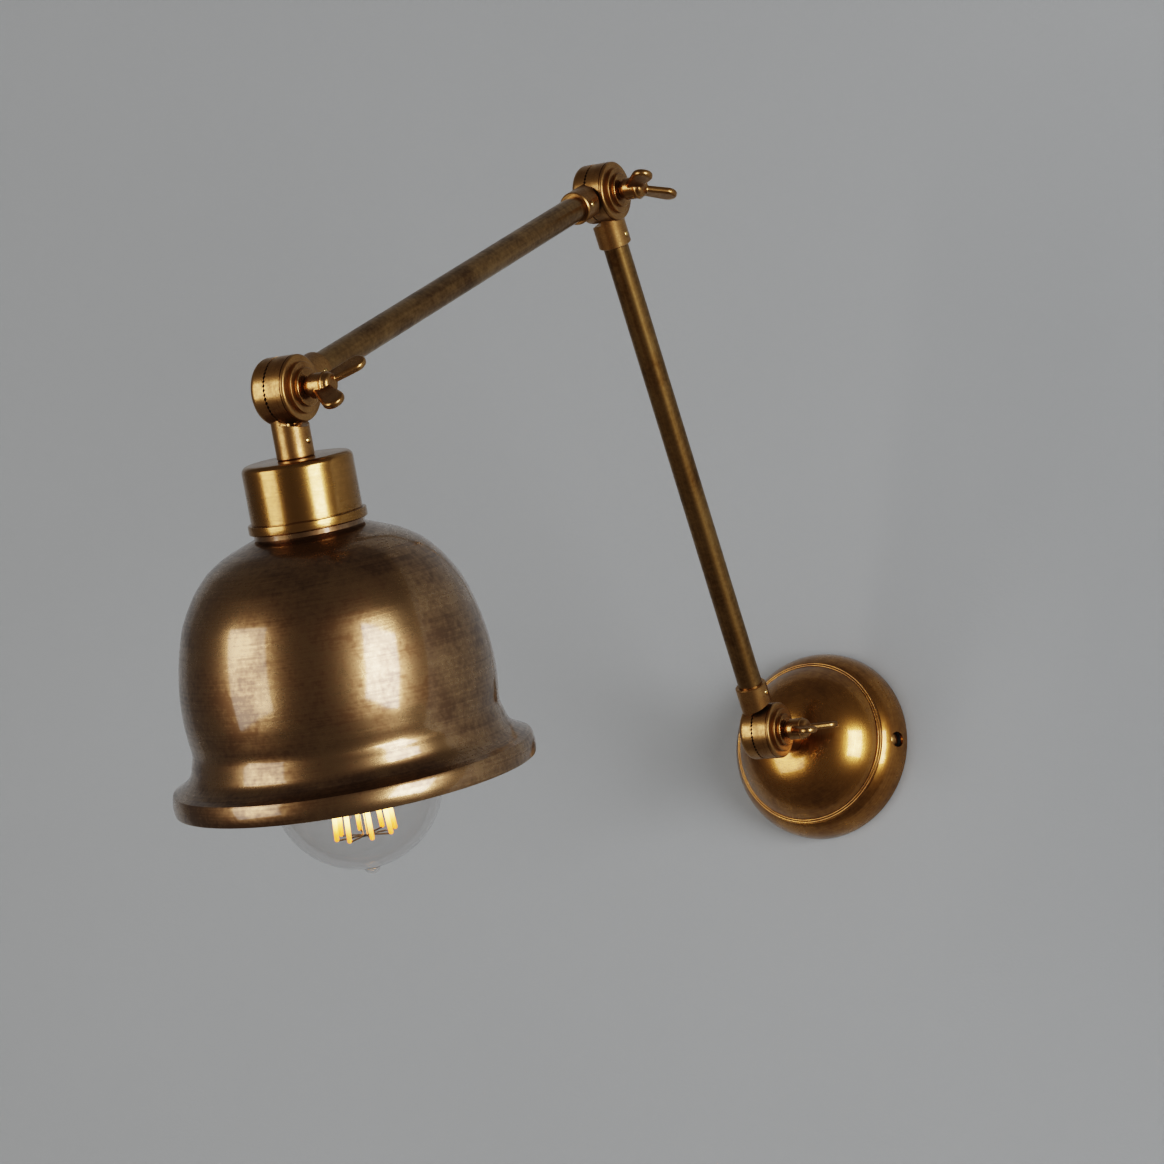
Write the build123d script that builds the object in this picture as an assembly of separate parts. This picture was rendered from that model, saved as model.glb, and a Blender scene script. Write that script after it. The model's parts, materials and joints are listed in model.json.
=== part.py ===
from build123d import *
import math
import os

# Swing-arm wall lamp: a wall rose, two tubular arms with three clamped knuckles,
# and a spun shade with its lampholder and bulb.
# Millimetres. Origin at the centre of the rose's back face, the wall is the plane Y = 0,
# the lamp stands out towards -Y, +Z is up and the three pivots run along X.

# ---- overall sizes -------------------------------------------------------------
rose_diameter = 100.0
rose_depth = 39.5
lower_arm_length = 302.0
upper_arm_length = 302.0
shade_diameter = 159.6
shade_waist_diameter = 135.2

# ---- how the arms stand at rest --------------------------------------------------
lower_arm_lean = 35.1
upper_arm_drop = 59.2
head_tilt = 20.8

# ---- arm tubes and flex -----------------------------------------------------------
tube_diameter = 12.7
tube_wall = 1.0
flex_diameter = 6.2
flex_end_gap = 0.6
core_diameter = 1.8
core_pitch = 1.9
core_bend = 6.0

# ---- knuckles -----------------------------------------------------------------------
knuckle_diameter = 29.2
nut_half_depth = 10.0
head_half_depth = 8.3
nut_half_corner = 1.2
head_half_corner = 3.2
knuckle_end_wall = 3.0
knuckle_rim_wall = 2.6
knuckle_boss_diameter = 12.0
rim_groove_offset = 2.0
rim_groove_width = 0.5
rim_groove_depth = 0.4
step_ring_diameter = 22.4
step_ring_height = 1.8
step_ring_corner = 0.5
mesh_gap = 0.2
tooth_count = 48
tooth_depth = 0.6
tooth_fill = 0.94
boss_setback = 0.6
collar_diameter = 16.5
collar_stand = 12.9
head_collar_stand = 14.9
collar_clearance = 2.0
collar_edge = 0.5
socket_depth = 10.0

# ---- pivot bolts, washers and wing nuts ----------------------------------------------
bolt_diameter = 6.0
bolt_running_clearance = 0.06
bolt_head_diameter = 10.0
bolt_head_height = 2.2
bolt_head_sink = 1.2
bolt_slot_width = 1.2
bolt_slot_depth = 0.8
washer_diameter = 16.8
washer_height = 1.6
washer_corner = 0.5
washer_bore_clearance = 0.2
nut_face_gap = 0.1
nut_neck_diameter = 8.6
nut_neck_height = 1.8
nut_barrel_diameter = 11.0
nut_barrel_height = 7.6
nut_bead_diameter = 11.8
nut_bead_height = 0.9
nut_dome_diameter = 10.4
nut_dome_height = 3.0
nut_dome_corner = 2.4
nut_bore_depth = 8.6
bolt_tip_gap = 0.4
wing_thickness = 3.4
wing_edge = 1.4
wing_root_radius = 3.6
wing_root_height = 7.6
wing_root_offset = 3.0
wing_tip_radius = 5.0
wing_tip_height = 18.1
wing_tip_offset = 12.1
base_nut_turn = -76.0
elbow_nut_turn = -97.0
head_nut_turn = -39.0

# ---- grub screws ------------------------------------------------------------------------
grub_diameter = 3.0
grub_offset = 8.0
grub_stand = 0.2
grub_bite = 0.8
grub_socket_diameter = 1.5
grub_socket_depth = 1.0

# ---- wall rose ----------------------------------------------------------------------------
rose_wall = 1.2
rose_foot_height = 1.2
rose_skirt_height = 17.2
rose_bead_diameter = 84.4
rose_skirt_bulge = 1.75
rose_bead_radius = 0.55
rose_dome_rise = 2.3
rose_seat_diameter = 20.0
side_screw_height = 8.6
side_screw_head_diameter = 8.0
side_screw_recess = 0.7
side_screw_shank_diameter = 4.0
side_screw_shank_length = 8.0
slot_width = 1.2
slot_depth = 1.0

# ---- wall bracket and wiring --------------------------------------------------------------------
bracket_length = 88.0
bracket_width = 24.0
bracket_thickness = 2.0
bracket_corner = 3.0
ear_height = 12.4
ear_width = 12.0
wall_hole_diameter = 4.6
wall_hole_spacing = 69.0
cable_hole_diameter = 14.0
earth_screw_offset = 19.0
earth_screw_diameter = 4.0
earth_screw_head_diameter = 8.0
earth_screw_head_height = 2.4
block_length = 18.0
block_width = 20.0
block_height = 13.0
block_inner_edge = 10.0
block_edge = 0.8
block_well_diameter = 3.6
block_well_depth = 5.0
block_well_pitch = 6.0
block_entry_height = 9.0
flex_tail = 9.5

# ---- threaded nipples ---------------------------------------------------------------------------
nipple_diameter = 10.0
nipple_bore = 7.4
hex_across_flats = 14.0
hex_height = 4.0
nipple_projection = 1.6
stem_washer_diameter = 18.0
stem_washer_thickness = 1.2

# ---- cup over the lampholder, distances measured down the head axis from its pivot --------------
cup_diameter = 48.6
cup_wall = 1.2
cup_corner = 3.0
cup_height = 29.4
cup_lip_diameter = 51.8
cup_lip_height = 4.1
cup_lip_edge = 0.5

# ---- lampholder -------------------------------------------------------------------------------------
holder_cap_step = 0.5
holder_cap_wall = 1.5
holder_cap_shoulder = 1.8
holder_cap_neck = 16.0
holder_cap_height = 15.8
holder_skirt_diameter = 38.0
holder_skirt_wall = 3.0
holder_skirt_height = 47.0
holder_insert_setback = 2.0
holder_insert_height = 14.0
screw_shell_clearance = 2.0
screw_shell_wall = 0.6
screw_shell_height = 27.0
contact_diameter = 6.0
contact_height = 6.0
shade_ring_clearance = 0.35
shade_ring_height = 5.0
ring_rib_count = 24
ring_rib_diameter = 1.6

# ---- shade ------------------------------------------------------------------------------------------------
shade_wall = 1.1
shade_neck_diameter = 48.4
shade_neck_height = 2.3
shade_hole_clearance = 0.25
shade_height = 113.9
shade_band_height = 9.2
shade_band_inset = 0.9
shade_hem_radius = 1.0
# (distance below the neck, radius as a share of the waist radius) down the dome to the waist
shade_dome = (
    (0.9, 0.392),
    (3.1, 0.474),
    (6.1, 0.578),
    (10.7, 0.686),
    (14.4, 0.744),
    (19.8, 0.812),
    (30.3, 0.902),
    (39.4, 0.950),
    (48.8, 0.984),
    (60.6, 1.010),
    (71.6, 1.017),
    (79.6, 1.009),
    (86.3, 1.000),
)
# (distance above the band, distance inside the band's top radius) through the flare
shade_flare = (
    (11.4, 10.3),
    (7.0, 9.0),
    (4.2, 7.0),
    (1.5, 3.2),
    (0.4, 1.0),
)

# ---- bulb -----------------------------------------------------------------------------------------------------
bulb_diameter = 75.0
bulb_glass_wall = 0.8
bulb_cap_clearance = 0.2
bulb_cap_wall = 0.5
bulb_cap_height = 24.5
bulb_neck_overlap = 4.0
bulb_neck_run = 6.0
bulb_centre_drop = 75.0
bulb_pip_radius = 4.0
bulb_pip_height = 3.4
bulb_contact_diameter = 9.0
bulb_contact_height = 1.5
stem_flare_thickness = 1.2
stem_foot_radius = 8.0
stem_press_radius = 3.0
stem_rod_radius = 1.6
stem_foot_length = 14.0
stem_press_length = 62.5
stem_rod_length = 98.6
filament_count = 8
filament_diameter = 1.8
filament_length = 38.0
filament_top_radius = 10.5
filament_foot_radius = 13.2
support_hub_width = 0.8
support_wire_diameter = 0.7
support_thickness = 0.8


# ---- derived places -------------------------------------------------------------------------------------------
knuckle_radius = knuckle_diameter / 2
collar_reach = knuckle_radius + collar_stand
head_collar_reach = knuckle_radius + head_collar_stand
grub_reach = knuckle_radius + grub_offset
cavity_radius = knuckle_radius - knuckle_rim_wall
boss_radius = knuckle_boss_diameter / 2
half_gap = mesh_gap / 2
washer_seat = nut_half_depth + step_ring_height
nut_seat = washer_seat + washer_height + nut_face_gap
standoff = rose_depth + collar_reach
flex_start = knuckle_radius + collar_clearance + flex_end_gap


def swing(angle):
    """Turn about the pivot direction; 0 points up, positive leans away from the wall."""
    return Rot(angle, 0, 0)


def along(angle, distance):
    """Offset in the plane of the arms, from 0 = up, positive leaning away from the wall."""
    turn = math.radians(angle)
    return Vector(0, -distance * math.sin(turn), distance * math.cos(turn))


lower_turn = lower_arm_lean
upper_turn = 180.0 - upper_arm_drop
head_turn = 180.0 + head_tilt
base_pivot = Vector(0, -standoff, 0)
elbow_pivot = base_pivot + along(lower_turn, lower_arm_length)
head_pivot = elbow_pivot + along(upper_turn, upper_arm_length)

at_base = Pos(base_pivot)
at_elbow = Pos(elbow_pivot)
at_head = Pos(head_pivot)
to_wall = at_base * swing(-90.0)
up_lower = at_base * swing(lower_turn)
down_lower = at_elbow * swing(lower_turn + 180.0)
up_upper = at_elbow * swing(upper_turn)
down_upper = at_head * swing(upper_turn + 180.0)
down_head = at_head * swing(head_turn)
wall_out = Rot(90, 0, 0)


def rod(diameter, start, end):
    """A round bar on the local Z axis."""
    return Pos(0, 0, start) * Cylinder(diameter / 2, end - start, align=(Align.CENTER, Align.CENTER, Align.MIN))


def cross_rod(diameter, start, end):
    """A round bar on the local X axis."""
    return Rot(0, 90, 0) * rod(diameter, start, end)


def pipe(outer, bore, start, end):
    """A round tube on the local Z axis."""
    return rod(outer, start, end) - rod(bore, start, end)


def turned(outline):
    """A solid turned about the local Z axis from (radius, height) lines."""
    return revolve(Plane.XZ * make_face(outline), Axis.Z)


def turned_on_x(outline):
    """A solid turned about the pivot axis from (x, radius) lines."""
    return revolve(make_face(outline), Axis.X)


def around(shape, count):
    """Copies of a shape spaced evenly about the local Z axis."""
    return [Rot(0, 0, index * 360.0 / count) * shape for index in range(count)]


def write(name, shape):
    """One file for each piece, named after the piece."""
    shape.label = name
    export_step(shape, os.path.join("parts", name + ".step"))


# ---- knuckle halves ----------------------------------------------------------------------------------------
def tooth_cutter(side):
    """A V shaped wedge that runs out along the radius and cuts one gap between two teeth."""
    outer = knuckle_radius * 1.1
    inner = cavity_radius * 0.8
    sections = []
    for radius in (inner, outer):
        half_width = math.pi * radius / tooth_count * tooth_fill
        depth = tooth_depth * radius / knuckle_radius
        face_x = side * half_gap
        above = face_x - side * tooth_depth
        rise = (tooth_depth + depth) / depth
        corner_a = Vector(above, -half_width * rise, radius)
        corner_b = Vector(above, half_width * rise, radius)
        corner_c = Vector(face_x + side * depth, 0, radius)
        sections.append(make_face(Polyline(corner_a, corner_b, corner_c, close=True)))
    return loft(sections, ruled=True)


def serrated(half, side, phase):
    """Cut the ring of radial teeth into the open rim of a knuckle half."""
    cutter = tooth_cutter(side)
    pitch = 360.0 / tooth_count
    cutters = [swing((index + phase) * pitch) * cutter for index in range(tooth_count)]
    return half - cutters


def collar(side, reach, socket_diameter):
    """The socket for an arm, relieved where the other half turns past it."""
    stub = rod(collar_diameter, 0, reach)
    stub = chamfer(stub.edges().group_by(Axis.Z)[-1], collar_edge)
    relief_start = side * half_gap
    relief_end = -side * collar_diameter
    relief = cross_rod(
        knuckle_diameter + 2 * collar_clearance,
        min(relief_start, relief_end),
        max(relief_start, relief_end),
    )
    return stub - relief


def collar_bores(reach, socket_diameter):
    """The wire way out of the knuckle, the arm's socket and the grub screw's hole."""
    bores = rod(flex_diameter, boss_radius + 1.0, reach)
    bores += rod(socket_diameter, reach - socket_depth, reach)
    bores += Pos(0, 0, grub_reach) * cross_rod(grub_diameter, 0, collar_diameter)
    return bores


def knuckle_cavity(side, depth):
    """The hollow for the wires, around the boss that the pivot bolt passes."""
    floor = side * (depth - knuckle_end_wall)
    low = min(floor, 0)
    high = max(floor, 0)
    hollow = cross_rod(2 * cavity_radius, low, high) - cross_rod(2 * boss_radius, low, high)
    set_back = side * (half_gap + boss_setback)
    return hollow + cross_rod(2 * cavity_radius, min(0, set_back), max(0, set_back))


def head_half(reach, socket_diameter):
    """The half on the bolt head's side, with a rounded outer corner."""
    drum = turned_on_x(
        Line((-head_half_depth, 0), (-head_half_depth, knuckle_radius - head_half_corner))
        + ThreePointArc(
            (-head_half_depth, knuckle_radius - head_half_corner),
            (
                -head_half_depth + head_half_corner * (1 - math.sqrt(0.5)),
                knuckle_radius - head_half_corner * (1 - math.sqrt(0.5)),
            ),
            (-head_half_depth + head_half_corner, knuckle_radius),
        )
        + Line((-head_half_depth + head_half_corner, knuckle_radius), (-half_gap, knuckle_radius))
        + Line((-half_gap, knuckle_radius), (-half_gap, 0))
        + Line((-half_gap, 0), (-head_half_depth, 0))
    )
    half = drum + collar(-1, reach, socket_diameter)
    half -= knuckle_cavity(-1, head_half_depth)
    half -= cross_rod(bolt_diameter, -head_half_depth, 0)
    half -= cross_rod(bolt_head_diameter, -head_half_depth, -head_half_depth + bolt_head_sink)
    half -= collar_bores(reach, socket_diameter)
    return serrated(half, -1, 0.0)


def nut_half(reach, socket_diameter):
    """The half on the wing nut's side, with a grooved rim, a step ring and a running bore."""
    groove_start = nut_half_depth - rim_groove_offset
    drum = cross_rod(knuckle_diameter, half_gap, nut_half_depth)
    drum = fillet(drum.edges().group_by(Axis.X)[-1], nut_half_corner)
    ring = cross_rod(step_ring_diameter, half_gap, washer_seat)
    ring = fillet(ring.edges().group_by(Axis.X)[-1], step_ring_corner)
    groove = cross_rod(knuckle_diameter + 2 * rim_groove_depth, groove_start, groove_start + rim_groove_width)
    groove -= cross_rod(knuckle_diameter - 2 * rim_groove_depth, groove_start, groove_start + rim_groove_width)
    half = drum - groove + ring + collar(1, reach, socket_diameter)
    half -= knuckle_cavity(1, nut_half_depth)
    half -= cross_rod(bolt_diameter + 2 * bolt_running_clearance, 0, washer_seat)
    half -= collar_bores(reach, socket_diameter)
    return serrated(half, 1, 0.5)


def grub_screw(socket_diameter):
    """A socket grub screw on the outer side of a collar, standing in from its surface."""
    tip = socket_diameter / 2 - grub_bite
    end = collar_diameter / 2 - grub_stand
    screw = cross_rod(grub_diameter, tip, end)
    screw -= cross_rod(grub_socket_diameter, end - grub_socket_depth, end)
    return Pos(0, 0, grub_reach) * screw


def pivot_bolt():
    """A slotted bolt through both halves, ending inside the wing nut."""
    face = -head_half_depth + bolt_head_sink
    tip = nut_seat + nut_bore_depth - bolt_tip_gap
    bolt = cross_rod(bolt_diameter, face, tip)
    head = cross_rod(bolt_head_diameter, face - bolt_head_height, face)
    head = fillet(head.edges().group_by(Axis.X)[0], bolt_slot_depth / 2)
    bolt += head
    slot = Box(bolt_slot_depth, bolt_slot_width, bolt_head_diameter, align=(Align.MIN, Align.CENTER, Align.CENTER))
    return bolt - Pos(face - bolt_head_height, 0, 0) * slot


def thrust_washer():
    """The turned washer between a knuckle and its wing nut."""
    washer = cross_rod(washer_diameter, washer_seat, washer_seat + washer_height)
    washer = fillet(washer.edges().group_by(Axis.X)[-1], washer_corner)
    return washer - cross_rod(bolt_diameter + 2 * washer_bore_clearance, washer_seat, washer_seat + washer_height)


def wing_outline():
    """One ear of the wing nut: two round ends joined by straight flanks, in the X-Z plane."""
    root = Vector(nut_seat + wing_root_height, wing_root_offset)
    tip = Vector(nut_seat + wing_tip_height, wing_tip_offset)
    run = tip - root
    heading = math.atan2(run.Y, run.X)
    spread = math.acos((wing_root_radius - wing_tip_radius) / run.length)
    corners = []
    for turn in (heading + spread, heading - spread):
        reach = Vector(math.cos(turn), math.sin(turn))
        corners.append((root + reach * wing_root_radius, tip + reach * wing_tip_radius))
    ahead = Vector(math.cos(heading), math.sin(heading))
    return (
        Line(corners[0][0], corners[0][1])
        + ThreePointArc(corners[0][1], tip + ahead * wing_tip_radius, corners[1][1])
        + Line(corners[1][1], corners[1][0])
        + ThreePointArc(corners[1][0], root - ahead * wing_root_radius, corners[0][0])
    )


def wing_nut():
    """A domed nut with two rounded ears that sweep outwards."""
    barrel_start = nut_seat + nut_neck_height
    barrel_end = barrel_start + nut_barrel_height
    barrel = cross_rod(nut_barrel_diameter, barrel_start, barrel_end)
    barrel = chamfer(barrel.edges().group_by(Axis.X)[0], collar_edge)
    barrel += cross_rod(nut_neck_diameter, nut_seat, barrel_end)
    bead = cross_rod(nut_bead_diameter, barrel_end - nut_bead_height, barrel_end)
    barrel += fillet(bead.edges().filter_by(GeomType.CIRCLE), nut_bead_height / 3)
    dome = cross_rod(nut_dome_diameter, barrel_end, barrel_end + nut_dome_height)
    dome = fillet(dome.edges().group_by(Axis.X)[-1], nut_dome_corner)
    ear = extrude(Plane.XZ * make_face(wing_outline()), wing_thickness / 2, both=True)
    ear = fillet(ear.faces().group_by(Axis.Y)[0].edges() + ear.faces().group_by(Axis.Y)[-1].edges(), wing_edge)
    nut = barrel + dome + ear + Rot(180, 0, 0) * ear
    return nut - cross_rod(bolt_diameter + 2 * bolt_running_clearance, nut_seat, nut_seat + nut_bore_depth)


# ---- arms ------------------------------------------------------------------------------------------------------
def arm_tube(length):
    """A straight tube between two sockets, drilled at each end for the grub screw."""
    start = collar_reach - socket_depth
    tube = pipe(tube_diameter, tube_diameter - 2 * tube_wall, start, length - start)
    for height in (grub_reach, length - grub_reach):
        tube -= Pos(0, 0, height) * cross_rod(grub_diameter, 0, tube_diameter)
    return tube


def nipple(start, end):
    """Threaded tube that holds a collar to a plate, with the wires inside it."""
    tube = pipe(nipple_diameter, nipple_bore, start, end)
    return tube - Pos(0, 0, grub_reach) * cross_rod(grub_diameter, nipple_diameter / 2 - grub_bite, nipple_diameter)


def hex_nut(start):
    """A thin hexagon nut on a nipple."""
    blank = extrude(RegularPolygon(hex_across_flats / 2, 6, major_radius=False), hex_height)
    return Pos(0, 0, start) * blank - rod(nipple_diameter, start, start + hex_height)


# ---- wall rose ---------------------------------------------------------------------------------------------------
def rose_form(inset, height):
    """The rose's outline turned about its axis: bulged skirt, beads, then a low dome."""
    foot = rose_diameter / 2 - inset
    shoulder = rose_bead_diameter / 2 + rose_bead_radius - inset
    shelf = rose_bead_diameter / 2 - rose_bead_radius - inset
    seat = rose_seat_diameter / 2
    skirt_top = rose_skirt_height - inset / 2
    skirt_mid = Vector((foot + shoulder) / 2 + rose_skirt_bulge, (rose_foot_height + skirt_top) / 2)
    skirt_mid += Vector(0, rose_skirt_bulge / 2)
    dome_start = skirt_top + rose_bead_radius
    dome_mid = Vector((shelf + seat) / 2, (dome_start + height) / 2)
    dome_mid += Vector(rose_dome_rise, rose_dome_rise * 2)
    return turned(
        Line((0, 0), (foot, 0))
        + Line((foot, 0), (foot, rose_foot_height))
        + ThreePointArc((foot, rose_foot_height), skirt_mid, (shoulder, skirt_top))
        + Line((shoulder, skirt_top), (shelf, dome_start))
        + ThreePointArc((shelf, dome_start), dome_mid, (seat, height))
        + Line((seat, height), (0, height))
        + Line((0, height), (0, 0))
    )


def rose_cover():
    """Spun cover with two fine beads, side screw holes and the stem hole in its crown."""
    cover = rose_form(0, rose_depth)
    for offset, drop in ((rose_bead_radius, 0), (-rose_bead_radius, rose_bead_radius)):
        bead = Torus(rose_bead_diameter / 2 + offset, rose_bead_radius)
        cover += Pos(0, 0, rose_skirt_height + drop) * bead
    cover -= rose_form(rose_wall, rose_depth - rose_wall)
    cover -= rod(nipple_diameter, 0, rose_depth)
    cover -= Pos(0, 0, side_screw_height) * cross_rod(side_screw_head_diameter, -rose_diameter, rose_diameter)
    return cover


def side_screw(ear_face):
    """Slotted cheese-head screw through the rose's side hole into the bracket's ear."""
    head_end = rose_diameter / 2 - rose_skirt_bulge + side_screw_recess / 4 - side_screw_recess
    screw = cross_rod(side_screw_head_diameter, ear_face, head_end)
    screw += cross_rod(side_screw_shank_diameter, ear_face - side_screw_shank_length, ear_face)
    slot = Box(slot_depth, slot_width, side_screw_head_diameter, align=(Align.MAX, Align.CENTER, Align.CENTER))
    return Pos(0, 0, side_screw_height) * (screw - Pos(head_end, 0, 0) * slot)


def wall_bracket():
    """Pressed strap with two upturned ears, wall screw holes, cable hole and earth hole."""
    plate = Box(bracket_length, bracket_width, bracket_thickness, align=(Align.CENTER, Align.CENTER, Align.MIN))
    plate = fillet(plate.edges().filter_by(Axis.Z), bracket_corner)
    for side in (-1, 1):
        align_x = Align.MAX if side > 0 else Align.MIN
        ear = Box(bracket_thickness, ear_width, ear_height, align=(align_x, Align.CENTER, Align.MIN))
        plate += Pos(side * bracket_length / 2, 0, 0) * ear
        plate -= Pos(side * wall_hole_spacing / 2, 0, 0) * rod(wall_hole_diameter, 0, bracket_thickness)
    plate -= rod(cable_hole_diameter, 0, bracket_thickness)
    plate -= Pos(earth_screw_offset, 0, 0) * rod(earth_screw_diameter, 0, bracket_thickness)
    return plate - Pos(0, 0, side_screw_height) * cross_rod(
        side_screw_shank_diameter, -bracket_length, bracket_length
    )


def terminal_block():
    """Three-way connector block with a screw well over each terminal."""
    centre = -block_inner_edge - block_length / 2
    block = Box(block_length, block_width, block_height, align=(Align.CENTER, Align.CENTER, Align.MIN))
    block = chamfer(block.faces().group_by(Axis.Z)[-1].edges(), block_edge)
    for index in (-1, 0, 1):
        well = rod(block_well_diameter, block_height - block_well_depth, block_height)
        block -= Pos(0, index * block_well_pitch, 0) * well
    return Pos(centre, 0, bracket_thickness) * block


def earth_screw():
    """Pan-head screw in the bracket for the earth wire."""
    screw = rod(earth_screw_diameter, 0, bracket_thickness)
    head = rod(earth_screw_head_diameter, bracket_thickness, bracket_thickness + earth_screw_head_height)
    head = fillet(head.edges().group_by(Axis.Z)[-1], earth_screw_head_height / 4)
    slot = Box(earth_screw_head_diameter, slot_width, slot_depth, align=(Align.CENTER, Align.CENTER, Align.MAX))
    screw += head - Pos(0, 0, bracket_thickness + earth_screw_head_height) * slot
    return Pos(earth_screw_offset, 0, 0) * screw


def flex_cores(top):
    """The three insulated cores, from the end of the sheath round to the connector block."""
    cores = []
    for index in (-1, 0, 1):
        level = index * core_pitch
        path = FilletPolyline(
            (0, level, top),
            (0, level, block_entry_height),
            (-block_inner_edge, level, block_entry_height),
            radius=core_bend,
        )
        section = Plane((0, level, top), z_dir=(0, 0, -1)) * Circle(core_diameter / 2)
        cores.append(sweep(section, path))
    return Compound(children=cores)


# ---- head --------------------------------------------------------------------------------------------------------
cup_top = head_collar_reach
cup_foot = cup_top + cup_height
head_nut_start = cup_top + cup_wall
holder_cap_diameter = holder_skirt_diameter - 2 * holder_cap_step
holder_skirt_bore = holder_skirt_diameter - 2 * holder_skirt_wall
screw_shell_diameter = holder_skirt_bore - 2 * screw_shell_clearance
screw_shell_bore = screw_shell_diameter - 2 * screw_shell_wall
bulb_cap_diameter = screw_shell_bore - 2 * bulb_cap_clearance
holder_start = head_nut_start + hex_height
skirt_start = holder_start + holder_cap_height
skirt_end = skirt_start + holder_skirt_height
insert_start = skirt_start + holder_insert_setback
insert_end = insert_start + holder_insert_height
contact_end = insert_end + contact_height
bulb_cap_start = contact_end + bulb_contact_height
bulb_cap_end = bulb_cap_start + bulb_cap_height
bulb_centre = bulb_cap_end + bulb_centre_drop
shade_top = cup_foot
shade_foot = shade_top + shade_height


def cup_cover():
    """Turned cup over the lampholder with a raised lip at its mouth."""
    cup = rod(cup_diameter, cup_top, cup_foot)
    cup = fillet(cup.edges().group_by(Axis.Z)[0], cup_corner)
    lip = rod(cup_lip_diameter, cup_foot - cup_lip_height, cup_foot)
    lip = fillet(lip.edges().group_by(Axis.Z)[0] + lip.edges().group_by(Axis.Z)[-1], cup_lip_edge)
    hollow = rod(cup_diameter - 2 * cup_wall, cup_top + cup_wall, cup_foot)
    hollow = fillet(hollow.edges().group_by(Axis.Z)[0], cup_corner - cup_wall)
    return cup + lip - hollow - rod(nipple_diameter, cup_top, cup_foot)


def lampholder_cap():
    """Top of the lampholder, screwed on to the nipple."""
    shoulder = holder_start + holder_cap_shoulder
    cap = rod(holder_cap_neck, holder_start, skirt_start)
    shell = rod(holder_cap_diameter, shoulder, skirt_start)
    shell = fillet(shell.edges().group_by(Axis.Z)[0], holder_cap_wall)
    cap += shell
    cap -= rod(holder_cap_diameter - 2 * holder_cap_wall, shoulder + holder_cap_wall, skirt_start)
    return cap - rod(nipple_diameter, holder_start, skirt_start)


def lampholder_skirt():
    """Outer sleeve of the lampholder, which takes the shade ring."""
    return pipe(holder_skirt_diameter, holder_skirt_bore, skirt_start, skirt_end)


def shade_ring():
    """Ribbed ring that clamps the shade up against the cup."""
    start = shade_top + shade_wall
    diameter = shade_neck_diameter - 2 * shade_wall - 2 * shade_ring_clearance
    ring = rod(diameter, start, start + shade_ring_height)
    rib = Pos(diameter / 2, 0, 0) * rod(ring_rib_diameter, start, start + shade_ring_height)
    ring -= around(rib, ring_rib_count)
    return ring - rod(holder_skirt_diameter, start, start + shade_ring_height)


def shade_wall_points():
    """The shade's outer surface from the foot of its neck to the top of its band."""
    waist = shade_waist_diameter / 2
    neck_foot = shade_top + shade_neck_height
    band_top = shade_foot - shade_band_height
    band_radius = shade_diameter / 2 - shade_band_inset
    drop_scale = (band_top - neck_foot - shade_flare[0][0]) / (shade_dome[-1][0] + shade_flare[-1][1] * 4)
    points = [(shade_neck_diameter / 2, neck_foot)]
    points += [(waist * share, neck_foot + drop * drop_scale) for drop, share in shade_dome]
    points += [(band_radius - inset, band_top - rise) for rise, inset in shade_flare]
    return points + [(band_radius, band_top)]


def inward(points, distance):
    """Points moved square to their line, towards the inside of the shade."""
    moved = []
    for index, (radius, height) in enumerate(points):
        before = points[max(index - 1, 0)]
        after = points[min(index + 1, len(points) - 1)]
        run = Vector(after[0] - before[0], after[1] - before[1]).normalized()
        moved.append((radius - distance * run.Y, height + distance * run.X))
    return moved


def shade():
    """Spun shade: flat top, short neck, dome, waist, flare and an upright band with a hem."""
    outer = shade_wall_points()
    inner = inward(outer, shade_wall)
    bore = holder_skirt_diameter / 2 + shade_hole_clearance
    neck = shade_neck_diameter / 2
    rim = shade_diameter / 2
    belly = shade_foot - shade_band_height / 2
    outline = Line((bore, shade_top), (neck, shade_top))
    outline += Line((neck, shade_top), outer[0])
    outline += Spline(*outer)
    outline += ThreePointArc(outer[-1], (rim, belly), (rim - shade_band_inset / 4, shade_foot))
    outline += Line((rim - shade_band_inset / 4, shade_foot), (rim - shade_band_inset / 4 - shade_wall, shade_foot))
    outline += ThreePointArc(
        (rim - shade_band_inset / 4 - shade_wall, shade_foot), (rim - shade_wall, belly), inner[-1]
    )
    inner_top = (neck - shade_wall, inner[0][1])
    outline += Spline(*(inner[:0:-1] + [inner_top]))
    outline += Line(inner_top, (neck - shade_wall, shade_top + shade_wall))
    outline += Line((neck - shade_wall, shade_top + shade_wall), (bore, shade_top + shade_wall))
    outline += Line((bore, shade_top + shade_wall), (bore, shade_top))
    return turned(outline)


def bulb_form(inset):
    """The bulb's glass outline: neck, cone, globe and the small pip at its end."""
    globe = bulb_diameter / 2 - inset
    neck = bulb_cap_diameter / 2 - bulb_cap_wall - inset
    neck_start = bulb_cap_end - bulb_neck_overlap
    neck_end = bulb_cap_end + bulb_neck_run
    join = math.radians(35.0)
    join_point = (globe * math.cos(join), bulb_centre - globe * math.sin(join))
    end = (0, bulb_centre + globe)
    return (
        Line((0, neck_start), (neck, neck_start))
        + Line((neck, neck_start), (neck, neck_end))
        + Spline((neck, neck_end), join_point, tangents=((0, 1), (math.sin(join), math.cos(join))))
        + ThreePointArc(join_point, (globe * math.cos(join / 2), bulb_centre + globe * math.sin(join / 2)), end)
        + Line(end, (0, neck_start))
    )


def bulb_glass():
    """Clear globe with its neck in the cap and a drawn pip at the far end."""
    tip = bulb_centre + bulb_diameter / 2
    pip = Pos(0, 0, tip + bulb_pip_height - bulb_pip_radius) * Sphere(bulb_pip_radius)
    glass = turned(bulb_form(0)) + pip
    return glass - turned(bulb_form(bulb_glass_wall))


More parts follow.
